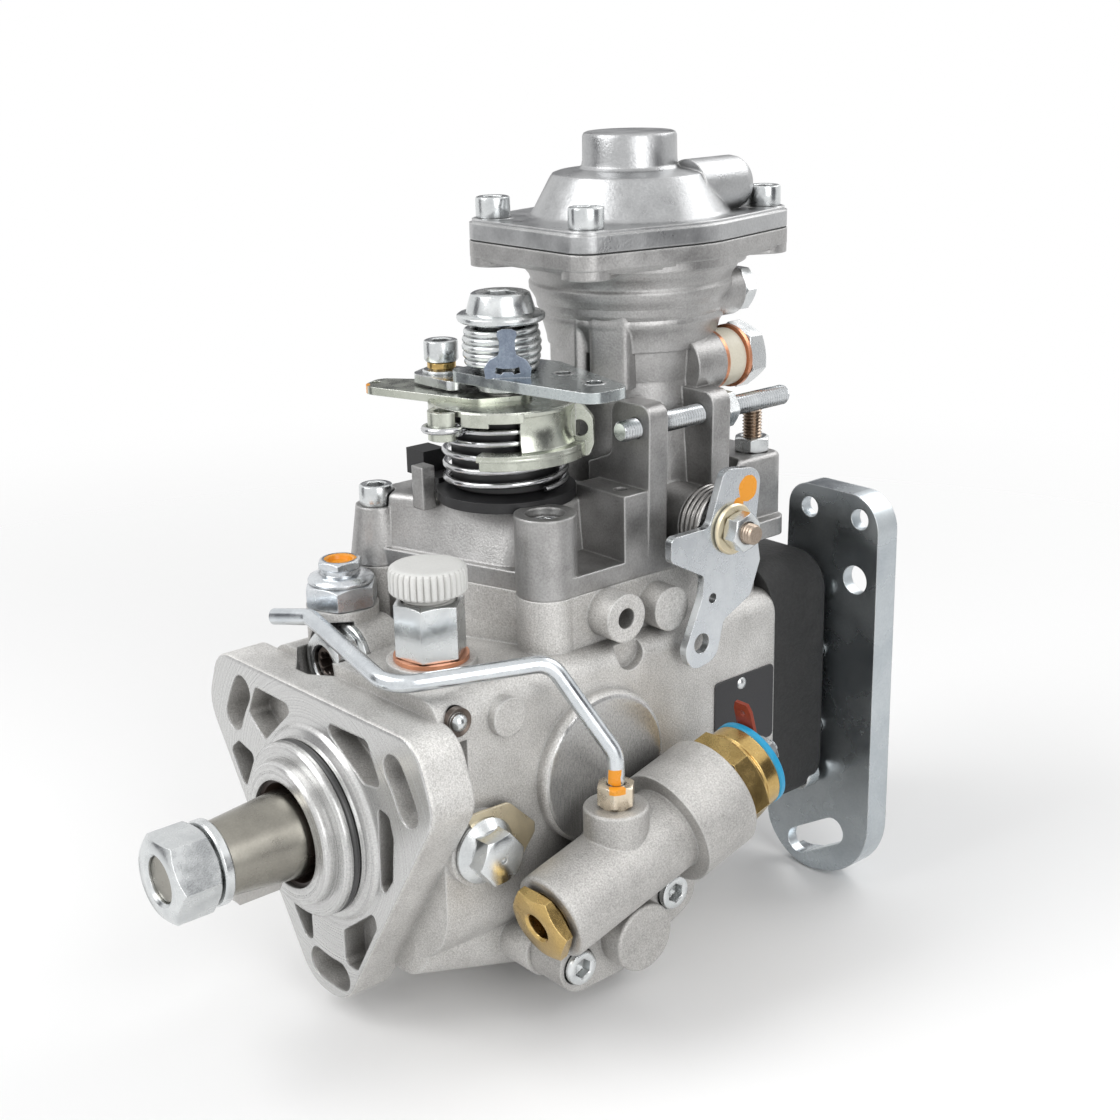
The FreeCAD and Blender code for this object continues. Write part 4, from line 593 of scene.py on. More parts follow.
def rounded(points):
    """An outline with rounded corners from (u, v, radius) points."""
    flat = []
    for i, (u, v, r) in enumerate(points):
        flat += arc_corner(points[i - 1][:2], (u, v), points[(i + 1) % len(points)][:2], r)
    return flat


def angular(points):
    """An outline with sharp corners from (u, v) points."""
    return [Vector(point) for point in points]


def round_hole(u, v, r, sides=24):
    return [Vector((u + r * math.cos(2 * math.pi * i / sides), v + r * math.sin(2 * math.pi * i / sides)))
            for i in range(sides)]


def wrapped(circles):
    """The outline of a band wrapped round circles (u, v, radius)."""
    dots = [dot for circle in circles for dot in round_hole(*circle, 48)]
    return [dots[i] for i in convex_hull_2d(dots)]


def plate(shape, lay, loops, low, high, finish_index=0):
    """A flat plate; the first loop is its outline and the others are its holes."""
    edges = []
    for loop in loops:
        corners = [shape.verts.new(lay @ Vector((*point, low))) for point in loop]
        edges += [shape.edges.new(pair) for pair in zip(corners, corners[1:] + corners[:1])]
    filled = bmesh.ops.triangle_fill(shape, edges=edges, use_beauty=True, use_dissolve=True)["geom"]
    faces = [part for part in filled if isinstance(part, bmesh.types.BMFace)]
    grown = bmesh.ops.extrude_face_region(shape, geom=faces)["geom"]
    top = [part for part in grown if isinstance(part, bmesh.types.BMVert)]
    bmesh.ops.translate(shape, verts=top, vec=lay.to_3x3() @ Vector((0, 0, high - low)))
    for vert in top:
        for face in vert.link_faces:
            face.material_index = finish_index
    for face in faces:
        if face.is_valid:
            face.material_index = finish_index


def band(shape, middle, inner, outer, low, high, first, last, hollow=0.0):
    """Part of an upright tube between two angles; its wall may be hollowed between its ends."""
    rows = 6
    steps = max(3, int(abs(last - first) / 4))
    rings = []
    for i in range(steps + 1):
        angle = math.radians(first + (last - first) * i / steps)
        ring = []
        for j in list(range(rows + 1)) + list(range(2 * rows + 2, rows + 1, -1)):
            r, share = (outer, j / rows) if j <= rows else (inner, (j - rows - 2) / rows)
            r -= hollow * math.sin(math.pi * share)
            ring.append(shape.verts.new((middle[0] + r * math.cos(angle), middle[1] + r * math.sin(angle),
                                         low + (high - low) * share)))
        rings.append(ring)
    for near, far in zip(rings, rings[1:]):
        for quad in zip(near, near[1:] + near[:1], far[1:] + far[:1], far):
            shape.faces.new(quad)
    for end in (rings[0], rings[-1]):
        shape.faces.new(end)


def placed(name, mesh, body, finishes, stands_for=()):
    """The object of a finished mesh, standing for CAD nodes; it rides on a named body, or else keeps its
    place.
    """
    mesh.name = name
    if not mesh.materials:
        for material in finishes:
            mesh.materials.append(material)
    mesh.polygons.foreach_set("use_smooth", [True] * len(mesh.polygons))
    mesh.set_sharp_from_angle(angle=math.radians(33))
    piece = shown(name, mesh)
    if isinstance(body, str):
        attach(piece, body)
    else:
        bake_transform(piece)
    if stands_for:
        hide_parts(*stands_for)


def closed_mesh(name, shape):
    """The mesh in metres of a shape, with its doubles merged and its faces outwards."""
    bmesh.ops.remove_doubles(shape, verts=shape.verts, dist=0.003)
    bmesh.ops.recalc_face_normals(shape, faces=shape.faces)
    mesh = bpy.data.meshes.new(name)
    shape.to_mesh(mesh)
    shape.free()
    mesh.transform(Matrix.Scale(mm, 4))
    return mesh


def finished(name, shape, body, finishes, *stands_for):
    """The object of a shape, with its doubles merged and its faces outwards."""
    placed(name, closed_mesh(name, shape), body, finishes, stands_for)


# Geometry Nodes

class Tree:
    """A geometry tree under construction, with its named inputs."""

    def __init__(self, name, inputs):
        self.tree = bpy.data.node_groups.new(name, "GeometryNodeTree")
        self.keys = {}
        for label, kind in inputs:
            socket = self.tree.interface.new_socket(label, in_out="INPUT", socket_type="NodeSocket" + kind)
            self.keys[label] = socket.identifier
        self.tree.interface.new_socket("Geometry", in_out="OUTPUT", socket_type="NodeSocketGeometry")
        self.given = self.tree.nodes.new("NodeGroupInput").outputs

    def add(self, kind, inputs=(), **settings):
        """A node with its inputs set or linked; gives its outputs."""
        node = self.tree.nodes.new(kind)
        for key, value in settings.items():
            setattr(node, key, value)
        return wired(self.tree, node, inputs)

    def calc(self, operation, a, b=0.0, c=0.0):
        return self.add("ShaderNodeMath", {0: a, 1: b, 2: c}, operation=operation)[0]

    def climb(self, along, start, end, rise):
        """A height that grows from 0 to a rise between two places along the wire."""
        return self.add("ShaderNodeMapRange", {0: along, 1: start, 2: end, 3: 0.0, 4: rise})[0]

    def swept(self, path, radius, sides):
        """A round wire or pipe along a curve, with closed ends."""
        section = self.add("GeometryNodeCurvePrimitiveCircle", {"Resolution": sides, "Radius": radius})
        return self.add("GeometryNodeCurveToMesh", {"Curve": path, "Profile Curve": section["Curve"],
                                                    "Fill Caps": True})[0]

    def end(self, geometry, material):
        real = self.add("GeometryNodeRealizeInstances", {"Geometry": geometry})[0]
        dressed = self.add("GeometryNodeSetMaterial", {"Geometry": real, "Material": material})[0]
        self.tree.links.new(dressed, self.tree.nodes.new("NodeGroupOutput").inputs[0])
        return self

    def mesh(self, start, values):
        """The plain mesh that the tree makes on a starting mesh with these input values."""
        carrier = shown("carrier", start)
        modifier = carrier.modifiers.new("tree", "NODES")
        modifier.node_group = self.tree
        for label, value in values.items():
            modifier[self.keys[label]] = value
        bpy.context.view_layer.update()
        graph = bpy.context.evaluated_depsgraph_get()
        solid = bpy.data.meshes.new_from_object(carrier.evaluated_get(graph), preserve_all_data_layers=True,
                                                depsgraph=graph)
        bpy.data.objects.remove(carrier)
        return solid


def wound_wire_tree():
    """A wire wound along Z: its end turns lie close, and it may bulge in the middle like a barrel."""
    tree = Tree("wound_wire", [("Geometry", "Geometry"), ("Coil radius", "Float"), ("Wire radius", "Float"),
                               ("Length", "Float"), ("Turns", "Float"), ("Closed turns", "Float"),
                               ("Bulge", "Float"), ("Points", "Int"), ("Finish", "Material")])
    given, calc_on = tree.given, tree.calc
    path = tree.add("GeometryNodeCurvePrimitiveLine", {"End": (0.0, 0.0, 1.0)})["Curve"]
    path = tree.add("GeometryNodeResampleCurve", {"Curve": path, "Count": given["Points"]})["Curve"]
    along = tree.add("GeometryNodeSplineParameter")["Factor"]
    angle = calc_on("MULTIPLY", calc_on("MULTIPLY", along, given["Turns"]), 2 * math.pi)
    share = calc_on("DIVIDE", given["Closed turns"], given["Turns"])
    width = calc_on("MULTIPLY", given["Wire radius"], 2.05)
    closed_rise = calc_on("MULTIPLY", width, given["Closed turns"])
    open_rise = calc_on("SUBTRACT", calc_on("SUBTRACT", given["Length"], width),
                        calc_on("MULTIPLY", closed_rise, 2.0))
    far = calc_on("SUBTRACT", 1.0, share)
    first = tree.climb(along, 0.0, share, closed_rise)
    second = tree.climb(along, share, far, open_rise)
    third = tree.climb(along, far, 1.0, closed_rise)
    rise = calc_on("ADD", calc_on("ADD", first, second), calc_on("ADD", third, given["Wire radius"]))
    swell = calc_on("MULTIPLY", calc_on("SINE", calc_on("MULTIPLY", along, math.pi)), given["Bulge"])
    reach = calc_on("ADD", given["Coil radius"], swell)
    place = tree.add("ShaderNodeCombineXYZ", {0: calc_on("MULTIPLY", reach, calc_on("COSINE", angle)),
                                              1: calc_on("MULTIPLY", reach, calc_on("SINE", angle)),
                                              2: rise})[0]
    path = tree.add("GeometryNodeSetPosition", {"Geometry": path, "Position": place})[0]
    return tree.end(tree.swept(path, given["Wire radius"], 12), given["Finish"])


def screws_tree():
    """One screw on each point, along the point's axis, each turned by chance about itself."""
    tree = Tree("screws_on_places", [("Geometry", "Geometry"), ("Screw", "Object"), ("Size", "Float"),
                                     ("Seed", "Int"), ("Finish", "Material")])
    given = tree.given
    places = tree.add("GeometryNodeMeshToPoints", {"Mesh": given["Geometry"]})[0]
    way = tree.add("GeometryNodeInputNamedAttribute", {"Name": "way"}, data_type="FLOAT_VECTOR")[0]
    aimed = tree.add("FunctionNodeAlignRotationToVector", {"Vector": way}, axis="Z")[0]
    screw = tree.add("GeometryNodeObjectInfo", {"Object": given["Screw"]}, transform_space="ORIGINAL")
    chance = tree.add("FunctionNodeRandomValue", {2: 0.0, 3: math.pi, "Seed": given["Seed"]},
                      data_type="FLOAT")[1]
    spin = tree.add("ShaderNodeCombineXYZ", {2: chance})[0]
    set_down = tree.add("GeometryNodeInstanceOnPoints", {
        "Points": places, "Instance": screw["Geometry"], "Rotation": aimed, "Scale": given["Size"]})[0]
    turned = tree.add("GeometryNodeRotateInstances", {"Instances": set_down, "Rotation": spin})[0]
    return tree.end(turned, given["Finish"])


def bent_pipe_tree():
    """A round pipe along a polyline whose corners are rounded by each point's bend radius."""
    tree = Tree("bent_pipe", [("Geometry", "Geometry"), ("Pipe radius", "Float"), ("Corner points", "Int"),
                              ("Finish", "Material")])
    given = tree.given
    path = tree.add("GeometryNodeMeshToCurve", {"Mesh": given["Geometry"]})[0]
    bend = tree.add("GeometryNodeInputNamedAttribute", {"Name": "bend"}, data_type="FLOAT")[0]
    path = tree.add("GeometryNodeFilletCurve", {"Curve": path, "Count": given["Corner points"],
                                                "Radius": bend}, mode="POLY")[0]
    return tree.end(tree.swept(path, given["Pipe radius"], 24), given["Finish"])


wound_wire, screws_on_places, bent_pipe = wound_wire_tree(), screws_tree(), bent_pipe_tree()


def start_mesh(name, places, edges, label, kind, values):
    """A mesh of points in millimetres with one named value for each point."""
    start = bpy.data.meshes.new(name)
    start.from_pydata([[c * mm for c in place] for place in places], edges, [])
    attribute = start.attributes.new(label, kind, "POINT")
    attribute.data.foreach_set("vector" if kind == "FLOAT_VECTOR" else "value", values)
    return start


def spring(name, body, material, lay, coil_r, wire_r, length, turns, closed, bulge, *stands_for):
    """A wound spring in millimetres, laid along its axis."""
    points_per_turn = 40
    values = {"Coil radius": coil_r * mm, "Wire radius": wire_r * mm, "Length": length * mm, "Turns": turns,
              "Closed turns": closed, "Bulge": bulge * mm, "Points": int(turns * points_per_turn),
              "Finish": material}
    mesh = wound_wire.mesh(bpy.data.meshes.new("start"), values)
    move = lay.copy()
    move.translation *= mm
    mesh.transform(move)
    placed(name, mesh, body, [material], stands_for)


# Screws, studs and nuts

# Head of an M6 socket screw from its hollow outwards, with its seat at 0
socket_head = [(0, 2.2), (2.35, 3.0), (5.0, 3.0, "hex", 0.0), (5.0, 5.75, "hex", 0.0), (3.15, 6.0),
               (4.3, 6.0), (4.8, 5.8), (5.0, 5.3), (5.0, 0.5), (4.7, 0.0)]
m6_r = 3.0
m6_across = 10.0
m6_bore_r = 2.8


def boost_ears(z):
    """Middles of the four ears of the boost unit's flange."""
    angles = [math.radians(a) for a in (60, 120, -60, -120)]
    return [(boost_screw_r * math.cos(a), boost_y + boost_screw_r * math.sin(a), z) for a in angles]


def socket_screws():
    """The hexagon socket screws of the cover, the head, the side device, the boost unit and the bracket."""
    shape = bmesh.new()
    round_body(shape, upright, socket_head + [(m6_r, 0.0), (m6_r, -6.0), (0, -6.0)], 36)
    screw = shown("one_screw", closed_mesh("one_screw", shape))
    on_cover = [(-32, 46.5, 76), (26.5, 62.2, 74), (25, 132, 74), (-30, 132, 74)]
    on_head = [(x, 160, z) for x in (-33.5, 33.5) for z in (37, -26)]
    on_side_device = [(54, 44, -38), (54, 79.5, -28)]
    on_bracket = [(34, 172, 16), (34, 172, -10)]
    places = on_cover + on_head + on_side_device + boost_ears(156.5) + on_bracket
    ways = [z_axis] * 4 + [y_axis] * 4 + [x_axis] * 2 + [z_axis] * 4 + [y_axis] * 2
    start = start_mesh("screw_places", places, [], "way", "FLOAT_VECTOR", [c for way in ways for c in way])
    mesh = screws_on_places.mesh(start, {"Screw": screw, "Size": 1.0, "Seed": 4, "Finish": zinc})
    bpy.data.objects.remove(screw)
    placed("hexagon_socket_screws", mesh, "pump", [zinc], ["socket_screws"])


def adjusting_screws():
    """Two threaded stops in the lugs, their lock nut, and the upright stud with its nut."""
    shape = bmesh.new()
    across_lugs = laid("y", (30, 0, 101))
    threaded_rod(shape, across_lugs, m6_r, 87, 154, finish_index=2)
    hexagon_body(shape, across_lugs, m6_across, 125.0, 130.0, m6_bore_r)
    stud_x, stud_y = 23, 148
    threaded_rod(shape, laid("z", (stud_x, stud_y, 0)), m6_r, 74.5, 96.5, finish_index=1)
    hexagon_body(shape, laid("z", (stud_x, stud_y, 0), 10), m6_across, 83.5, 88.0, m6_bore_r)
    finished("adjusting_screws_and_stud", shape, "pump", [zinc, brown_steel, thread_zinc],
             "adjusting_screws")


def shaft_nut():
    """Nut of 22 mm on the nose of the drive shaft, and its washer."""
    shape = bmesh.new()
    along = laid("y", (0, 0, 0))
    round_body(shape, along, [
        (6.5, -36.6), (6.5, -49.2), (7.4, -50.0), (10.34, -50.0), (22.0, -50.0, "hex", -chamfer),
        (22.0, -36.9, "hex", chamfer), (10.34, -36.6)], 60)
    ring_body(shape, along, 12.0, 7.2, -36.5, -33.5, 0.5)
    finished("shaft_nut_and_washer", shape, "drive", [zinc], "shaft_nut")


# Springs

def outer_springs():
    """Return spring of the throttle, small barrel spring above it, and the stop lever's spring."""
    spring("return_spring", ("pump", "throttle", (0, 0.070, 0.0845), (0, 0.070, 0.1045)), spring_steel,
           laid("z", (0, throttle_y, 84.5)), 17.3, 0.95, 20.0, 5.2, 0.6, 0.0, "throttle_return_spring")
    spring("barrel_spring", "throttle", zinc,
           laid("z", (0, throttle_y, 117.2)), 9.3, 1.1, 13.8, 5.4, 0.5, 0.9, "throttle_upper_spring")
    spring("stop_spring", ("pump", "stop", (0.0356, 0.114, 0.071), (0.0448, 0.114, 0.071)),
           dark_spring_steel, laid("x", (35.6, stop_y, stop_z)), 10.0, 1.1, 9.2, 3.7, 0.2, 0.0,
           "stop_lever_spring")


def inner_springs():
    """Springs of the boost unit and of the timing piston."""
    spring("boost_unit_spring", ("pump", "boost", (0, 0.1195, 0.120), (0, 0.1195, 0.1497)), spring_steel,
           laid("z", (0, boost_y, 120.0)), 7.4, 1.0, 29.7, 6.0, 0.8, 0.0, "boost_spring")
    spring("timing_piston_spring", ("pump", "timing", (-0.039, 0.076, -0.043), (-0.019, 0.076, -0.043)),
           spring_steel, laid("x", (-39.0, 76, -43)), 4.6, 0.9, 20.0, 5.0, 0.7, 0.0, "timing_spring")


# Throttle

def throttle_top():
    """Flanged nut on the throttle shaft, coned, with a hexagon socket."""
    shape = bmesh.new()
    round_body(shape, laid("z", (0, throttle_y, 0)), [
        (5.0, 131.0), (5.0, 135.3), (3.76, 135.5), (8.0, 135.5, "hex", 0.0), (8.0, 138.6, "hex", 0.0),
        (5.2, 139.0), (7.6, 139.0), (8.3, 138.6), (8.6, 137.8), (9.6, 134.4), (9.7, 133.6), (11.7, 133.3),
        (12.4, 132.8), (12.5, 132.2), (12.3, 131.5), (11.6, 131.0)], 60)
    finished("throttle_nut", shape, "throttle", [zinc], "throttle_top_nut")


def throttle_levers():
    """Lower lever plate, upper arm with its eye holes, clamp plate and screw, hub and upright tongue."""
    shape = bmesh.new()
    axis = laid("z", (0, throttle_y, 0))
    shaft_eye = round_hole(0, throttle_y, 5.0, 32)
    lower = [(10, 76, 5), (2, 58, 5), (-36, 46, 5), (-41, 56, 4), (-12, 79, 6)]
    plate(shape, upright, [rounded(lower), shaft_eye, round_hole(-37.0, 52.0, 1.6)], 108.3, 110.6, 1)
    arm = [(-10, 57.5, 4), (18, 61.0, 18), (43, 65.5, 5), (43.5, 79.0, 5), (4, 88, 5), (-11, 84, 6)]
    arm_low, arm_high = 114.2, 117.2
    eyes = [(17.7, 77.4, 2.6), (33.1, 75.2, 2.8)]
    arm_holes = [round_hole(*eye) for eye in eyes]
    plate(shape, upright, [rounded(arm), shaft_eye] + arm_holes, arm_low, arm_high, 4)
    clamp = [(-8, 75, 4), (-26, 73.5, 5), (-31, 66, 4), (-27, 57.5, 5), (-8, 58, 3)]
    plate(shape, upright, [rounded(clamp)], 111.3, 113.9, 0)
    ring_body(shape, laid("z", (clamp_x, clamp_y, 0)), 5.6, m6_r, 113.9, 114.9, 0.3)
    ring_body(shape, laid("z", (clamp_x, clamp_y, 0)), 4.2, 2.6, 114.9, 117.4, 0.5, 2)
    round_body(shape, laid("z", (clamp_x, clamp_y, 117.4)), socket_head + [(0, 0.0)], 48)
    ring_body(shape, axis, 7.6, 5.0, 111.3, 114.3, 0.5)
    ring_body(shape, axis, 6.5, 5.0, 117.0, 131.0, 0.4)
    half_tongue = [(6.2, 0.0), (6.6, 3.0), (5.2, 5.2), (2.6, 6.6), (2.2, 8.0), (2.2, 10.6), (2.8, 12.0),
                   (2.6, 13.2), (1.2, 13.8)]
    tongue = [(-u, v) for u, v in half_tongue] + half_tongue[::-1]
    slot = [(-3.4, 1.6), (-1.8, 1.2), (-1.2, 1.9), (1.2, 1.9), (1.8, 1.2), (3.4, 1.6), (3.2, 3.2),
            (1.4, 2.8), (-1.4, 2.8), (-3.2, 3.2)]
    plate(shape, stood((10.6, 63.4, 117.0), 49.0), [angular(tongue), angular(slot)], -0.7, 0.7, 3)
    for x, y, r in eyes:
        ring_body(shape, laid("z", (x, y, 0)), r + 0.9, r - 0.4, arm_low - 0.1, arm_high + 0.25, 0.5)
    finished("throttle_levers", shape, "throttle",
             [zinc, yellow_green_zinc, brass, dark_blue_zinc, blue_zinc], "throttle_lever")


def throttle_bracket():
    """Bent sheet bracket over the return spring: top plate, hook, window, hollowed wall, ledge and tab."""
    shape = bmesh.new()
    middle = (0, throttle_y)
    inner, outer, top = 19.7, 21.5, 108.8
    plate(shape, upright, [round_hole(*middle, 21.2, 64), round_hole(*middle, 5.2, 32)], 107.6, 109.2)
    band(shape, middle, inner, outer, 105.0, top, -72, -50)
    band(shape, middle, inner, outer, 106.2, top, -52, -24)
    band(shape, middle, inner, outer, 97.2, top, -26, 30, 1.5)
    band(shape, middle, 19.0, 24.2, 96.0, 97.7, -58, 34)
    band(shape, middle, 22.6, 24.2, 93.6, 96.6, -56, 32)
    band(shape, middle, inner, outer, 99.0, top, 30, 52)
    band(shape, middle, inner, outer, 99.2, top, -128, -106)
    hook_r, hook_angle = 21.8, math.radians(-88)
    hook = (hook_r * math.cos(hook_angle), throttle_y + hook_r * math.sin(hook_angle))
    band(shape, hook, 2.9, 4.6, 101.0, 109.0, -185, 5)
    tab = [(18.6, 96.2, 1), (22.4, 93.4, 1), (25.2, 93.4, 1.5), (26.6, 97.0, 2), (26.4, 104.5, 3),
           (22.6, top, 2), (18.6, top, 1)]
    plate(shape, stood((0, throttle_y, 0), 33.0), [rounded(tab), round_hole(22.6, 101.4, 2.4)], -0.9, 0.9)
    spring("return_spring_hook", "throttle", spring_steel, laid("z", (*hook, 102.4)), 5.6, 0.95, 3.2, 1.2,
           0.1, 0.0)
    finished("throttle_bracket", shape, "throttle", [yellow_green_zinc], "throttle_stop_bracket")


def spring_seat_drum():
    """The black drum inside the return spring."""
    shape = bmesh.new()
    ring_body(shape, laid("z", (0, throttle_y, 0)), 15.4, 6.0, 84.5, 106.6, 0.4)
    finished("spring_seat_drum", shape, "pump", [black_plastic])


# Stop lever

def stop_shaft_parts():
    """Shaft end with its thread, washer and nut on the stop lever."""
    shape = bmesh.new()
    lay = laid("x", (0, stop_y, stop_z), 15)
    ring_body(shape, lay, 5.0, 0, 7.5, 45.0, 0.2)
    ring_body(shape, lay, 2.9, 0, 44.0, 49.0, 0.1)
    threaded_rod(shape, lay, m6_r, 47.0, 57.0, finish_index=2)
    ring_body(shape, lay, 7.5, m6_r, 47.5, 49.0, 0.5, 1)
    hexagon_body(shape, lay, m6_across, 49.0, 54.0, m6_bore_r)
    finished("stop_shaft_nut_and_washer", shape, "stop", [zinc, yellow_zinc, brown_steel], "stop_shaft")


# Fittings of the housing

def inlet_fitting():
    """Hexagonal inlet union with its bore, and the ribbed white cap with its thread below."""
    lay = laid("z", (15, 30, 0), 10)
    shape = bmesh.new()
    round_body(shape, lay, [
        (5.0, 46.4), (5.0, 56.8), (7.5, 57.4), (7.5, 61.8), (7.9, 62.3), (8.3, 62.3),
        (17.5, 62.2, "hex", 0.35), (17.5, 46.4, "hex", -0.2), (8.2, 46.4)], 60)
    finished("inlet_union", shape, "pump", [zinc], "inlet_fitting")
    shape = bmesh.new()
    threaded_rod(shape, lay, 7.4, 57.5, 64.9, 1.5, sides=48)
    ribs = 34
    rib = ("rib", 0.75, ribs)
    round_body(shape, lay, [
        (0, 64.4), (7.2, 64.4), (9.4, 64.4), (10.4, 64.6, *rib), (10.8, 65.2, *rib), (10.8, 70.1, *rib),
        (10.5, 71.2, *rib), (9.9, 71.65), (9.2, 71.85), (8.0, 71.9), (6.0, 71.75), (0, 71.7)], 8 * ribs)
    finished("inlet_cap_ribbed", shape, "pump", [white_plastic], "inlet_cap")


def vent_valve():
    """Vent valve: a large hexagon, a dished flange and a small hexagon with a painted hollow."""
    shape = bmesh.new()
    lay = laid("z", (vent_x, vent_y, 0), 20)
    hexagon_body(shape, lay, 19.0, 51.5, 58.4, lower_chamfer=0.2)
    round_body(shape, lay, [
        (0, 58.1), (8.8, 58.1), (9.5, 58.5), (9.6, 59.1), (9.2, 59.7), (7.4, 60.5), (6.0, 60.8),
        (0, 60.8)], 60)
    round_body(shape, lay, [
        (0, 63.5), (3.2, 63.5), (3.6, 64.6), (4.0, 64.8), (5.4, 64.8), (11.6, 64.8, "hex", 0.5),
        (11.6, 62.4, "hex", -0.3), (5.6, 62.2), (5.6, 60.4), (0, 60.4)], 60)
    finished("vent_valve_parts", shape, "pump", [vent_zinc], "vent_valve")


def regulating_valve():
    """Pressure regulating valve: a flanged hexagon with a dark star recess."""
    shape = bmesh.new()
    lay = laid("y", (-17, 0, 38), 12)
    round_body(shape, lay, [
        (5.2, 18.5), (5.2, 15.5), (5.7, 15.0), (8.0, 15.0), (17.0, 15.0, "hex", -chamfer),
        (17.0, 22.4, "hex", 0.2), (8.6, 22.4), (9.8, 22.8), (10.3, 23.4), (10.3, 24.6), (9.8, 25.0),
        (6.9, 25.0), (6.9, 33.0), (0, 33.0), (0, 24.0), (5.2, 24.0)], 60)
    star = ("rib", 0.9, 6)
    round_body(shape, lay, [(5.2, 18.5), (4.6, 16.4), (3.6, 16.2), (3.4, 16.4, *star), (3.3, 20.5, *star),
                            (0, 21.0)], 72, 1)
    finished("regulating_valve_parts", shape, "pump", [zinc, dark_insert], "regulating_valve")


def plugs():
    """Side plug with its dished flange, plug of the boost unit, centre plug of the head and ball plug."""
    shape = bmesh.new()
    side = laid("x", (0, 23.2, 0), 8)
    round_body(shape, side, [
        (0, 44.0), (8.9, 44.0), (9.3, 44.4), (9.3, 45.2), (8.6, 46.0), (7.2, 47.4), (6.9, 47.8),
        (0, 47.8)], 60)
    round_body(shape, side, [
        (0, 47.0), (13.0, 47.0, "hex", 0.0), (13.0, 53.0, "hex", chamfer), (6.0, 53.0), (0.9, 53.0),
        (0.7, 52.3), (0, 52.1)], 60)
    rear = laid("y", (18, 0, 133))
    ring_body(shape, rear, 6.6, 0, 142.0, 143.4, 0.4)
    ring_body(shape, rear, 4.5, 0, 133.0, 142.5, 0.2)
    hexagon_body(shape, rear, 12.0, 143.2, 148.0, 2.4)
    ring_body(shape, rear, 3.0, 0, 144.0, 145.0, 0.2)
    middle = laid("y", (0, 0, 0), 7)
    ring_body(shape, middle, 6.5, 0, 159.0, 167.5, 0.2)
    hexagon_body(shape, middle, 17.0, 167.0, 175.0)
    ball_r, ball_middle, steps = 2.7, 1.0, 16
    ball_lay = laid("x", (housing_side, 18.5, 37.5))
    ball = [(ball_r * math.sin(math.pi * i / steps), ball_middle - ball_r * math.cos(math.pi * i / steps))
            for i in range(1, steps)]
    round_body(shape, ball_lay, [(0, ball_middle - ball_r)] + ball + [(0, ball_middle + ball_r)], 40)
    round_body(shape, ball_lay, [(2.4, 0.0), (2.4, 1.2), (4.0, 2.0), (4.0, 0.0), (2.4, 0.0)], 40, 1)
    finished("plugs", shape, "pump", [zinc, dark_insert], "closing_plugs")


def overflow():
    """Overflow fitting: a pale sleeve between copper rings, held by a hexagon."""
    shape = bmesh.new()
    lay = laid("y", (20, 0, 113.5), 20)
    round_body(shape, lay, [
        (5.0, 132.2), (8.1, 132.2), (8.5, 132.7), (8.7, 136.0), (8.5, 139.3), (8.1, 139.8),
        (5.0, 139.8)], 60, 1)
    ring_body(shape, lay, 5.0, 0, 124.0, 141.0, 0.2)
    hexagon_body(shape, lay, 17.0, 141.0, 148.0, 4.2)
    ring_body(shape, lay, 4.6, 0, 142.0, 144.5, 0.2)
    finished("overflow_union", shape, "pump", [zinc, cream_plastic], "overflow_fitting")


# Cold-start device

def side_lay(turn=0.0):
    """Lays a shape made along Z along the inclined axis of the device on the housing's side."""
    incline = 15.3
    return (Matrix.Translation((cold_x, cold_y, cold_z)) @ Matrix.Rotation(math.radians(incline), 4, "X")
            @ laid("y", (0, 0, 0), turn))


def brass_plug():
    """Brass plug with a plain bore in its hexagon, at the front of the device."""
    shape = bmesh.new()
    round_body(shape, side_lay(), [
        (0, -21.0), (3.8, -21.0), (3.8, -29.3), (4.5, -30.0), (8.6, -30.0), (19.0, -30.0, "hex", -chamfer),
        (19.0, -26.2, "hex", 0.2), (7.6, -26.0), (7.6, -24.0), (8.0, -23.8), (8.0, -15.0), (0, -15.0)], 60)
    finished("brass_plug", shape, "pump", [brass], "cold_start_plug")


def solenoid():
    """Solenoid: brass hexagon and collar, blue ring, dark cap, terminal blade, stud and nut."""
    shape = bmesh.new()
    lay = side_lay(10)
    round_body(shape, lay, [
        (0, 28.0), (9.0, 28.0), (9.0, 38.6), (12.5, 38.8), (27.0, 39.0, "hex", -0.3),
        (27.0, 46.8, "hex", chamfer), (12.6, 47.0), (12.6, 47.6), (13.0, 48.0), (13.0, 52.3), (12.6, 52.8),
        (0, 52.8)], 72)
    ring_body(shape, lay, 13.2, 8.0, 52.7, 54.9, 0.4, 1)
    ring_body(shape, lay, 11.2, 0, 52.8, 55.4, 0.6, 2)
    threaded_rod(shape, lay, 2.4, 55.0, 64.0, 0.8, 3)
    hexagon_body(shape, lay, 8.0, 58.6, 62.2, 2.3, 5)
    blade = [(-3.2, 2.0), (-3.2, 17.6), (-2.2, 20.0), (2.2, 20.0), (3.2, 17.6), (3.2, 2.0)]
    holes = [round_hole(0, v, 1.0, 16) for v in (16.6, 4.0)]
    plate(shape, side_lay() @ Matrix.Rotation(math.pi, 4, "Z"), [angular(blade)] + holes, 55.3, 56.4, 4)
    finished("solenoid_parts", shape, "pump",
             [brass, blue_plastic, black_plastic, thread_zinc, red_plastic, zinc], "solenoid")


def fuel_pipe():
    """The steel pipe over the flange."""
    corners = [(cold_x, cold_y, 10), (cold_x, cold_y, 24), (50, 43, 50), (31, 4.5, 48.2), (-19.5, 13.4, 52),
               (-33, 10, 49.5)]
    bend_radii = [0, 8, 7, 10, 6, 0]
    start = start_mesh("pipe_route", corners, [(i, i + 1) for i in range(len(corners) - 1)], "bend", "FLOAT",
                       [r * mm for r in bend_radii])
    mesh = bent_pipe.mesh(start, {"Pipe radius": 2.4 * mm, "Corner points": 12, "Finish": pipe_zinc})
    placed("bent_fuel_pipe", mesh, "pump", [pipe_zinc], ["fuel_pipe"])


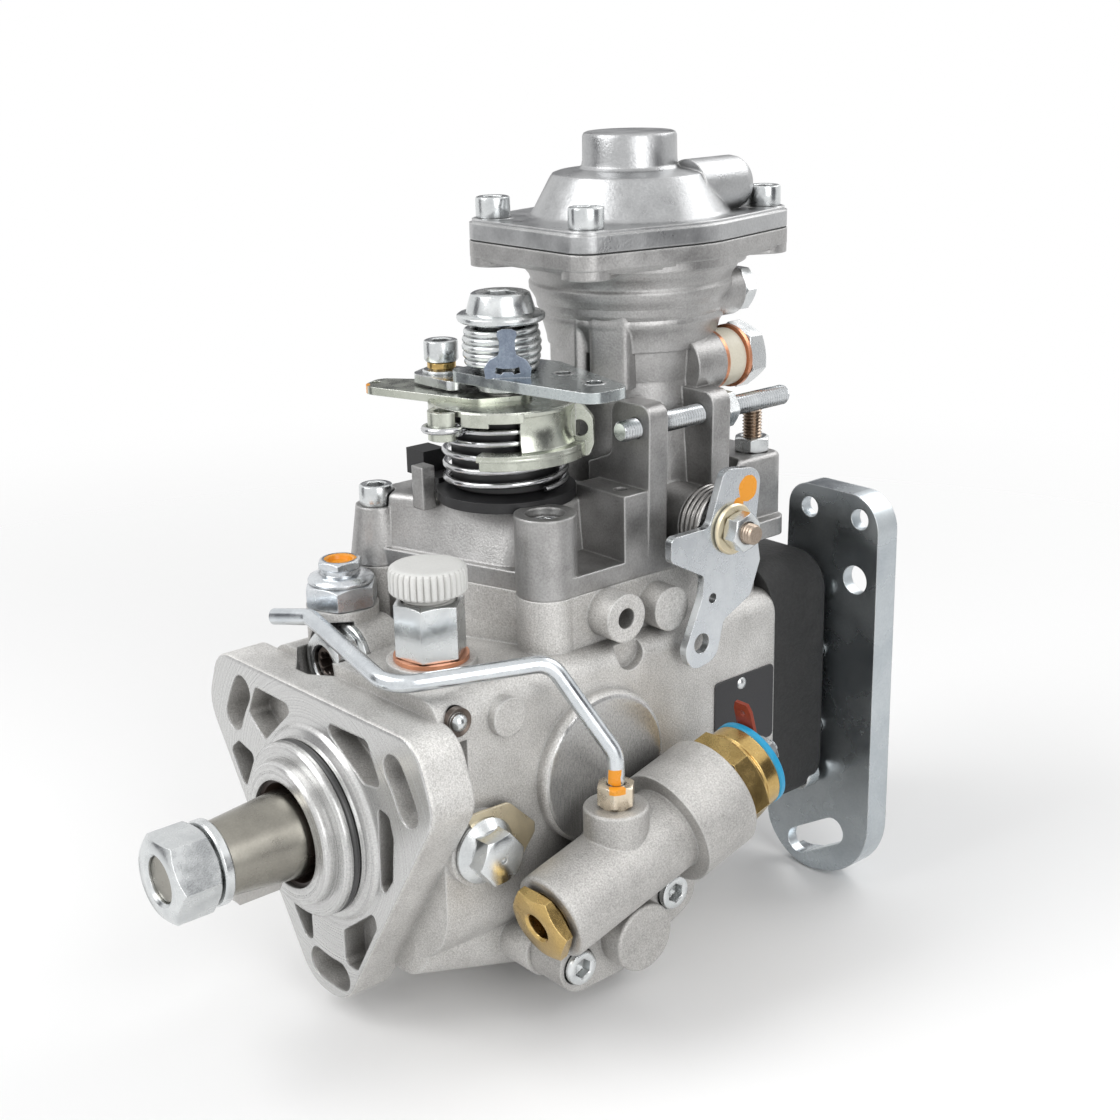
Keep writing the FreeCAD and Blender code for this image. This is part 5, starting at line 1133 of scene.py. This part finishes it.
def union_nut():
    """The pipe's union nut on the device, and the seat below it."""
    shape = bmesh.new()
    lay = laid("z", (cold_x, cold_y, 0), 12)
    round_body(shape, lay, [
        (2.45, 9.0), (2.45, 15.0), (2.9, 15.5), (4.4, 15.5), (9.5, 15.5, "hex", chamfer),
        (9.5, 9.6, "hex", -0.3), (4.6, 9.2), (4.6, 9.0)], 48)
    ring_body(shape, lay, 4.0, 0, 1.0, 9.2, 0.2)
    finished("union_nut", shape, "pump", [union_zinc])


# Delivery valves

def delivery_valves():
    """Six threaded valve holders round the middle of the head, each with its hexagon and its seat."""
    shape = bmesh.new()
    holders, circle_r, bore_r = 6, 21, 1.5
    for i in range(holders):
        angle = 2 * math.pi * (i + 0.5) / holders
        lay = laid("y", (circle_r * math.cos(angle), 0, circle_r * math.sin(angle)), 17 * i)
        ring_body(shape, lay, 5.5, bore_r, 153.0, 167.4, 0.2)
        hexagon_body(shape, lay, 14.0, 167.0, 176.0, bore_r)
        ring_body(shape, lay, 4.9, bore_r, 175.8, 178.0, 0.1)
        threaded_rod(shape, lay, 5.8, 177.5, 200.0, 1.5, 1, 40, bore_r)
    finished("delivery_valve_holders", shape, "pump", [zinc, thread_zinc], "delivery_valves")


# Boost unit

def boost_flange(shape, ear_r, disc_r, low, high, finish_index=0):
    """A flat disc with four ears."""
    ears = [(x, y, ear_r) for x, y, z in boost_ears(0)]
    plate(shape, upright, [wrapped(ears + [(0.0, boost_y, disc_r)])], low, high, finish_index)


def boost_lid():
    """Lid of the boost unit: eared flange, coned dome with its cap, and the port at the rear."""
    shape = bmesh.new()
    boost_flange(shape, 7.0, 34.0, 150.6, 155.3)
    boost_flange(shape, 6.2, 33.2, 155.2, 156.3)
    round_body(shape, laid("z", (0, boost_y, 0)), [
        (0, 155.0), (30.4, 155.0), (30.4, 156.0), (29.4, 156.5), (28.4, 157.6), (23.6, 166.4), (22.6, 167.8),
        (21.2, 168.3), (14.9, 169.2), (14.1, 170.0), (13.8, 171.5), (13.7, 178.2), (13.3, 179.0),
        (12.6, 179.3), (4.0, 179.4), (0, 179.4)], 80)
    round_body(shape, laid("y", (15, 0, 163.5)), [
        (0, 139.0), (4.5, 139.0), (4.5, 148.0), (5.0, 148.8), (5.6, 148.9), (6.8, 148.4), (7.6, 147.2),
        (8.0, 145.4), (8.0, 128.0), (0, 128.0)], 48)
    for ear in boost_ears(0):
        ring_body(shape, laid("z", ear), 5.9, 0, 155.3, 156.5, 0.2)
    finished("boost_lid", shape, "pump", [boost_metal], "boost_cover")


def boost_bowl():
    """The flange and the stepped wall of the bowl under the lid, with a thin dark gasket between them."""
    shape = bmesh.new()
    boost_flange(shape, 7.1, 34.1, 145.6, 150.1)
    boost_flange(shape, 6.5, 33.6, 144.9, 145.7)
    boost_flange(shape, 5.2, 32.9, 144.2, 145.0)
    boost_flange(shape, 6.8, 33.8, 150.0, 150.7, 1)
    round_body(shape, laid("z", (0, boost_y, 0)), [
        (0, 144.6), (32.6, 144.6), (32.2, 142.6), (31.2, 140.6), (30.2, 139.4), (29.7, 137.8), (30.3, 136.8),
        (30.2, 135.2), (29.2, 133.6), (28.0, 131.4), (27.3, 128.8), (27.7, 127.8), (27.5, 126.6),
        (26.4, 125.2), (25.4, 121.5), (25.0, 119.0), (0, 119.0)], 96)
    column = [(9.6, 93.2, 2.0), (20.0, 99.4, 2.0), (14.0, 114.0, 1), (3.0, 110.0, 1)]
    column_top = [(10.0, 94.4, 1.6), (19.0, 99.8, 1.6), (14.0, 114.0, 1), (3.0, 110.0, 1)]
    panel = [(-13.0, 97.6, 3.0), (5.9, 92.2, 0.9), (7.2, 95.2, 0.6), (6.0, 110.0, 1), (-11.0, 110.0, 1)]
    panel_foot = [(-12.0, 97.0, 2), (9.0, 92.4, 1), (10.0, 110.0, 1), (-10.0, 110.0, 1)]
    for outline, low, high in ((column, 109.0, 130.4), (column_top, 130.3, 131.8), (panel, 107.0, 130.6),
                               (panel_foot, 107.0, 112.6)):
        plate(shape, upright, [rounded(outline)], low, high)
    finished("boost_bowl", shape, "pump", [cover_metal, gasket])


# Bare plates

def bare_plates():
    """The black name plate and the yellow tag under the side plug, both left bare."""
    facing_side = laid("x", (0, 0, 0))
    shape = bmesh.new()
    front, rear, bottom, top, corner = 114, 139.3, -3, 21, 1.5
    face = housing_side + 1.4
    outline = [(front, bottom, corner), (rear, bottom, corner), (rear, top, corner), (front, top, corner)]
    plate(shape, facing_side, [rounded(outline)], face - 0.5, face)
    rivet = [(0, 0), (1.9, 0), (1.8, 0.3), (1.2, 0.75), (0, 0.9)]
    round_body(shape, laid("x", (face - 0.1, 125.3, 18.3)), rivet, 24, 1)
    finished("bare_name_plate", shape, "pump", [name_plate_black, zinc])
    shape = bmesh.new()
    tag = [(17.6, 11.3, 1), (22.3, 11.4, 1), (32.2, 11.0, 3), (40.7, 2.4, 1), (40.6, -0.5, 1),
           (34.6, -7.9, 1.2), (31.4, -8.5, 1), (25.0, -5.6, 2)]
    plate(shape, facing_side, [rounded(tag), round_hole(31.2, 1.0, 1.2, 20)], 43.8, 44.6)
    finished("bare_tag", shape, "pump", [yellow_zinc])


for make in (shaft_nut, socket_screws, adjusting_screws, outer_springs, inner_springs, throttle_top,
             throttle_levers, throttle_bracket, spring_seat_drum, stop_shaft_parts, inlet_fitting,
             vent_valve, regulating_valve, plugs, overflow, brass_plug, solenoid, fuel_pipe, union_nut,
             delivery_valves, boost_lid, boost_bowl, bare_plates):
    make()


# Stage, light and camera, in metres

pump_middle = (0.0, 0.07, 0.05)


def aimed(place, target):
    """The place and turn of something that faces a target."""
    ahead = Vector(target) - Vector(place)
    return Matrix.Translation(place) @ ahead.to_track_quat("-Z", "Y").to_matrix().to_4x4()


def camera():
    """The camera at the photograph's angle."""
    azimuth, elevation, roll = (math.radians(a) for a in (49.76, 18.10, -1.30))
    ahead = Vector((-math.sin(azimuth) * math.cos(elevation), math.cos(azimuth) * math.cos(elevation),
                    -math.sin(elevation)))
    turn = ahead.to_track_quat("-Z", "Y").to_matrix() @ Matrix.Rotation(roll, 3, "Z")
    data = bpy.data.cameras.new("camera")
    data.sensor_width = 36.0
    data.lens = 55.38
    data.clip_start = 0.01
    seen_from = shown("camera", data)
    seen_from.matrix_world = Matrix.Translation((0.37487, -0.22764, 0.21647)) @ turn.to_4x4()
    bpy.context.scene.camera = seen_from


def lamp(name, place, size, power):
    """A soft rectangular lamp that faces the pump."""
    data = bpy.data.lights.new(name, "AREA")
    data.shape = "RECTANGLE"
    data.size, data.size_y = size
    data.energy = power
    shown(name, data).matrix_world = aimed(place, pump_middle)


def floor():
    """A pale round floor that fades out into the white backdrop."""
    under = Vector((0.0, 0.08, 0.0))
    fade_start, fade_end = 0.16, 0.75
    mesh = bpy.data.meshes.new("floor")
    shape = bmesh.new()
    bmesh.ops.create_circle(shape, cap_ends=True, radius=1.6, segments=64)
    shape.to_mesh(mesh)
    shape.free()
    mesh.transform(Matrix.Translation((under.x, under.y, cad_low.z - 0.0005)))
    ground = shown("floor", mesh)
    material, tree = new_material("pale_floor")
    away = vector(tree, "SUBTRACT", put(tree, "TexCoord")["Object"], under)["Vector"]
    reach = put(tree, "VectorMath", {0: away}, operation="LENGTH")["Value"]
    fade = put(tree, "MapRange", {0: reach, 1: fade_start, 2: fade_end}, interpolation_type="SMOOTHSTEP")[0]
    pale = put(tree, "BsdfDiffuse", {"Color": colour(0.93, 0.93, 0.93)})[0]
    clear = put(tree, "BsdfTransparent")[0]
    show_surface(tree, put(tree, "MixShader", {0: fade, 1: pale, 2: clear})[0])
    mesh.materials.append(material)


def dark_card(name, place, size):
    """A dark card that only gives the metal something to reflect."""
    mesh = bpy.data.meshes.new(name)
    shape = bmesh.new()
    bmesh.ops.create_grid(shape, x_segments=1, y_segments=1, size=0.5)
    shape.to_mesh(mesh)
    shape.free()
    mesh.transform(aimed(place, pump_middle) @ Matrix.Diagonal((*size, 1.0, 1.0)))
    card = shown(name, mesh)
    material, tree = new_material(name)
    show_surface(tree, put(tree, "Emission", {"Color": colour(0.16, 0.16, 0.17), "Strength": 1.0})[0])
    mesh.materials.append(material)
    card.visible_camera = False
    card.visible_diffuse = False
    card.visible_shadow = False
    card.visible_transmission = False


def backdrop():
    """White all round for the camera and for reflections, and a softer white as light."""
    as_light, as_seen = 0.46, 1.0
    world = bpy.data.worlds.new("studio")
    bpy.context.scene.world = world
    world.use_nodes = True
    tree = world.node_tree
    tree.nodes.clear()
    path = put(tree, "LightPath")
    seen = calc(tree, "MAXIMUM", path["Is Camera Ray"], path["Is Transmission Ray"])
    seen = calc(tree, "MAXIMUM", seen, path["Is Glossy Ray"])
    strength = calc(tree, "MULTIPLY_ADD", seen, as_seen - as_light, as_light)
    light = put(tree, "Background", {"Color": colour(1.0, 1.0, 1.0), "Strength": strength})[0]
    tree.links.new(light, tree.nodes.new("ShaderNodeOutputWorld").inputs["Surface"])


camera()
backdrop()
floor()
lamp("key_lamp", (-0.25, -0.55, 0.75), (0.6, 0.6), 5.4)
lamp("side_lamp", (0.9, -0.1, 0.45), (0.5, 0.8), 4.4)
lamp("rear_lamp", (0.1, 0.8, 0.7), (0.8, 0.4), 3.0)
dark_card("left_card", (-0.9, -0.9, 0.15), (0.5, 1.2))
dark_card("right_card", (1.0, 0.6, 0.1), (0.7, 1.0))
dark_card("back_card", (-0.8, 0.75, 0.35), (0.6, 0.5))
bpy.context.scene.view_settings.view_transform = "Standard"
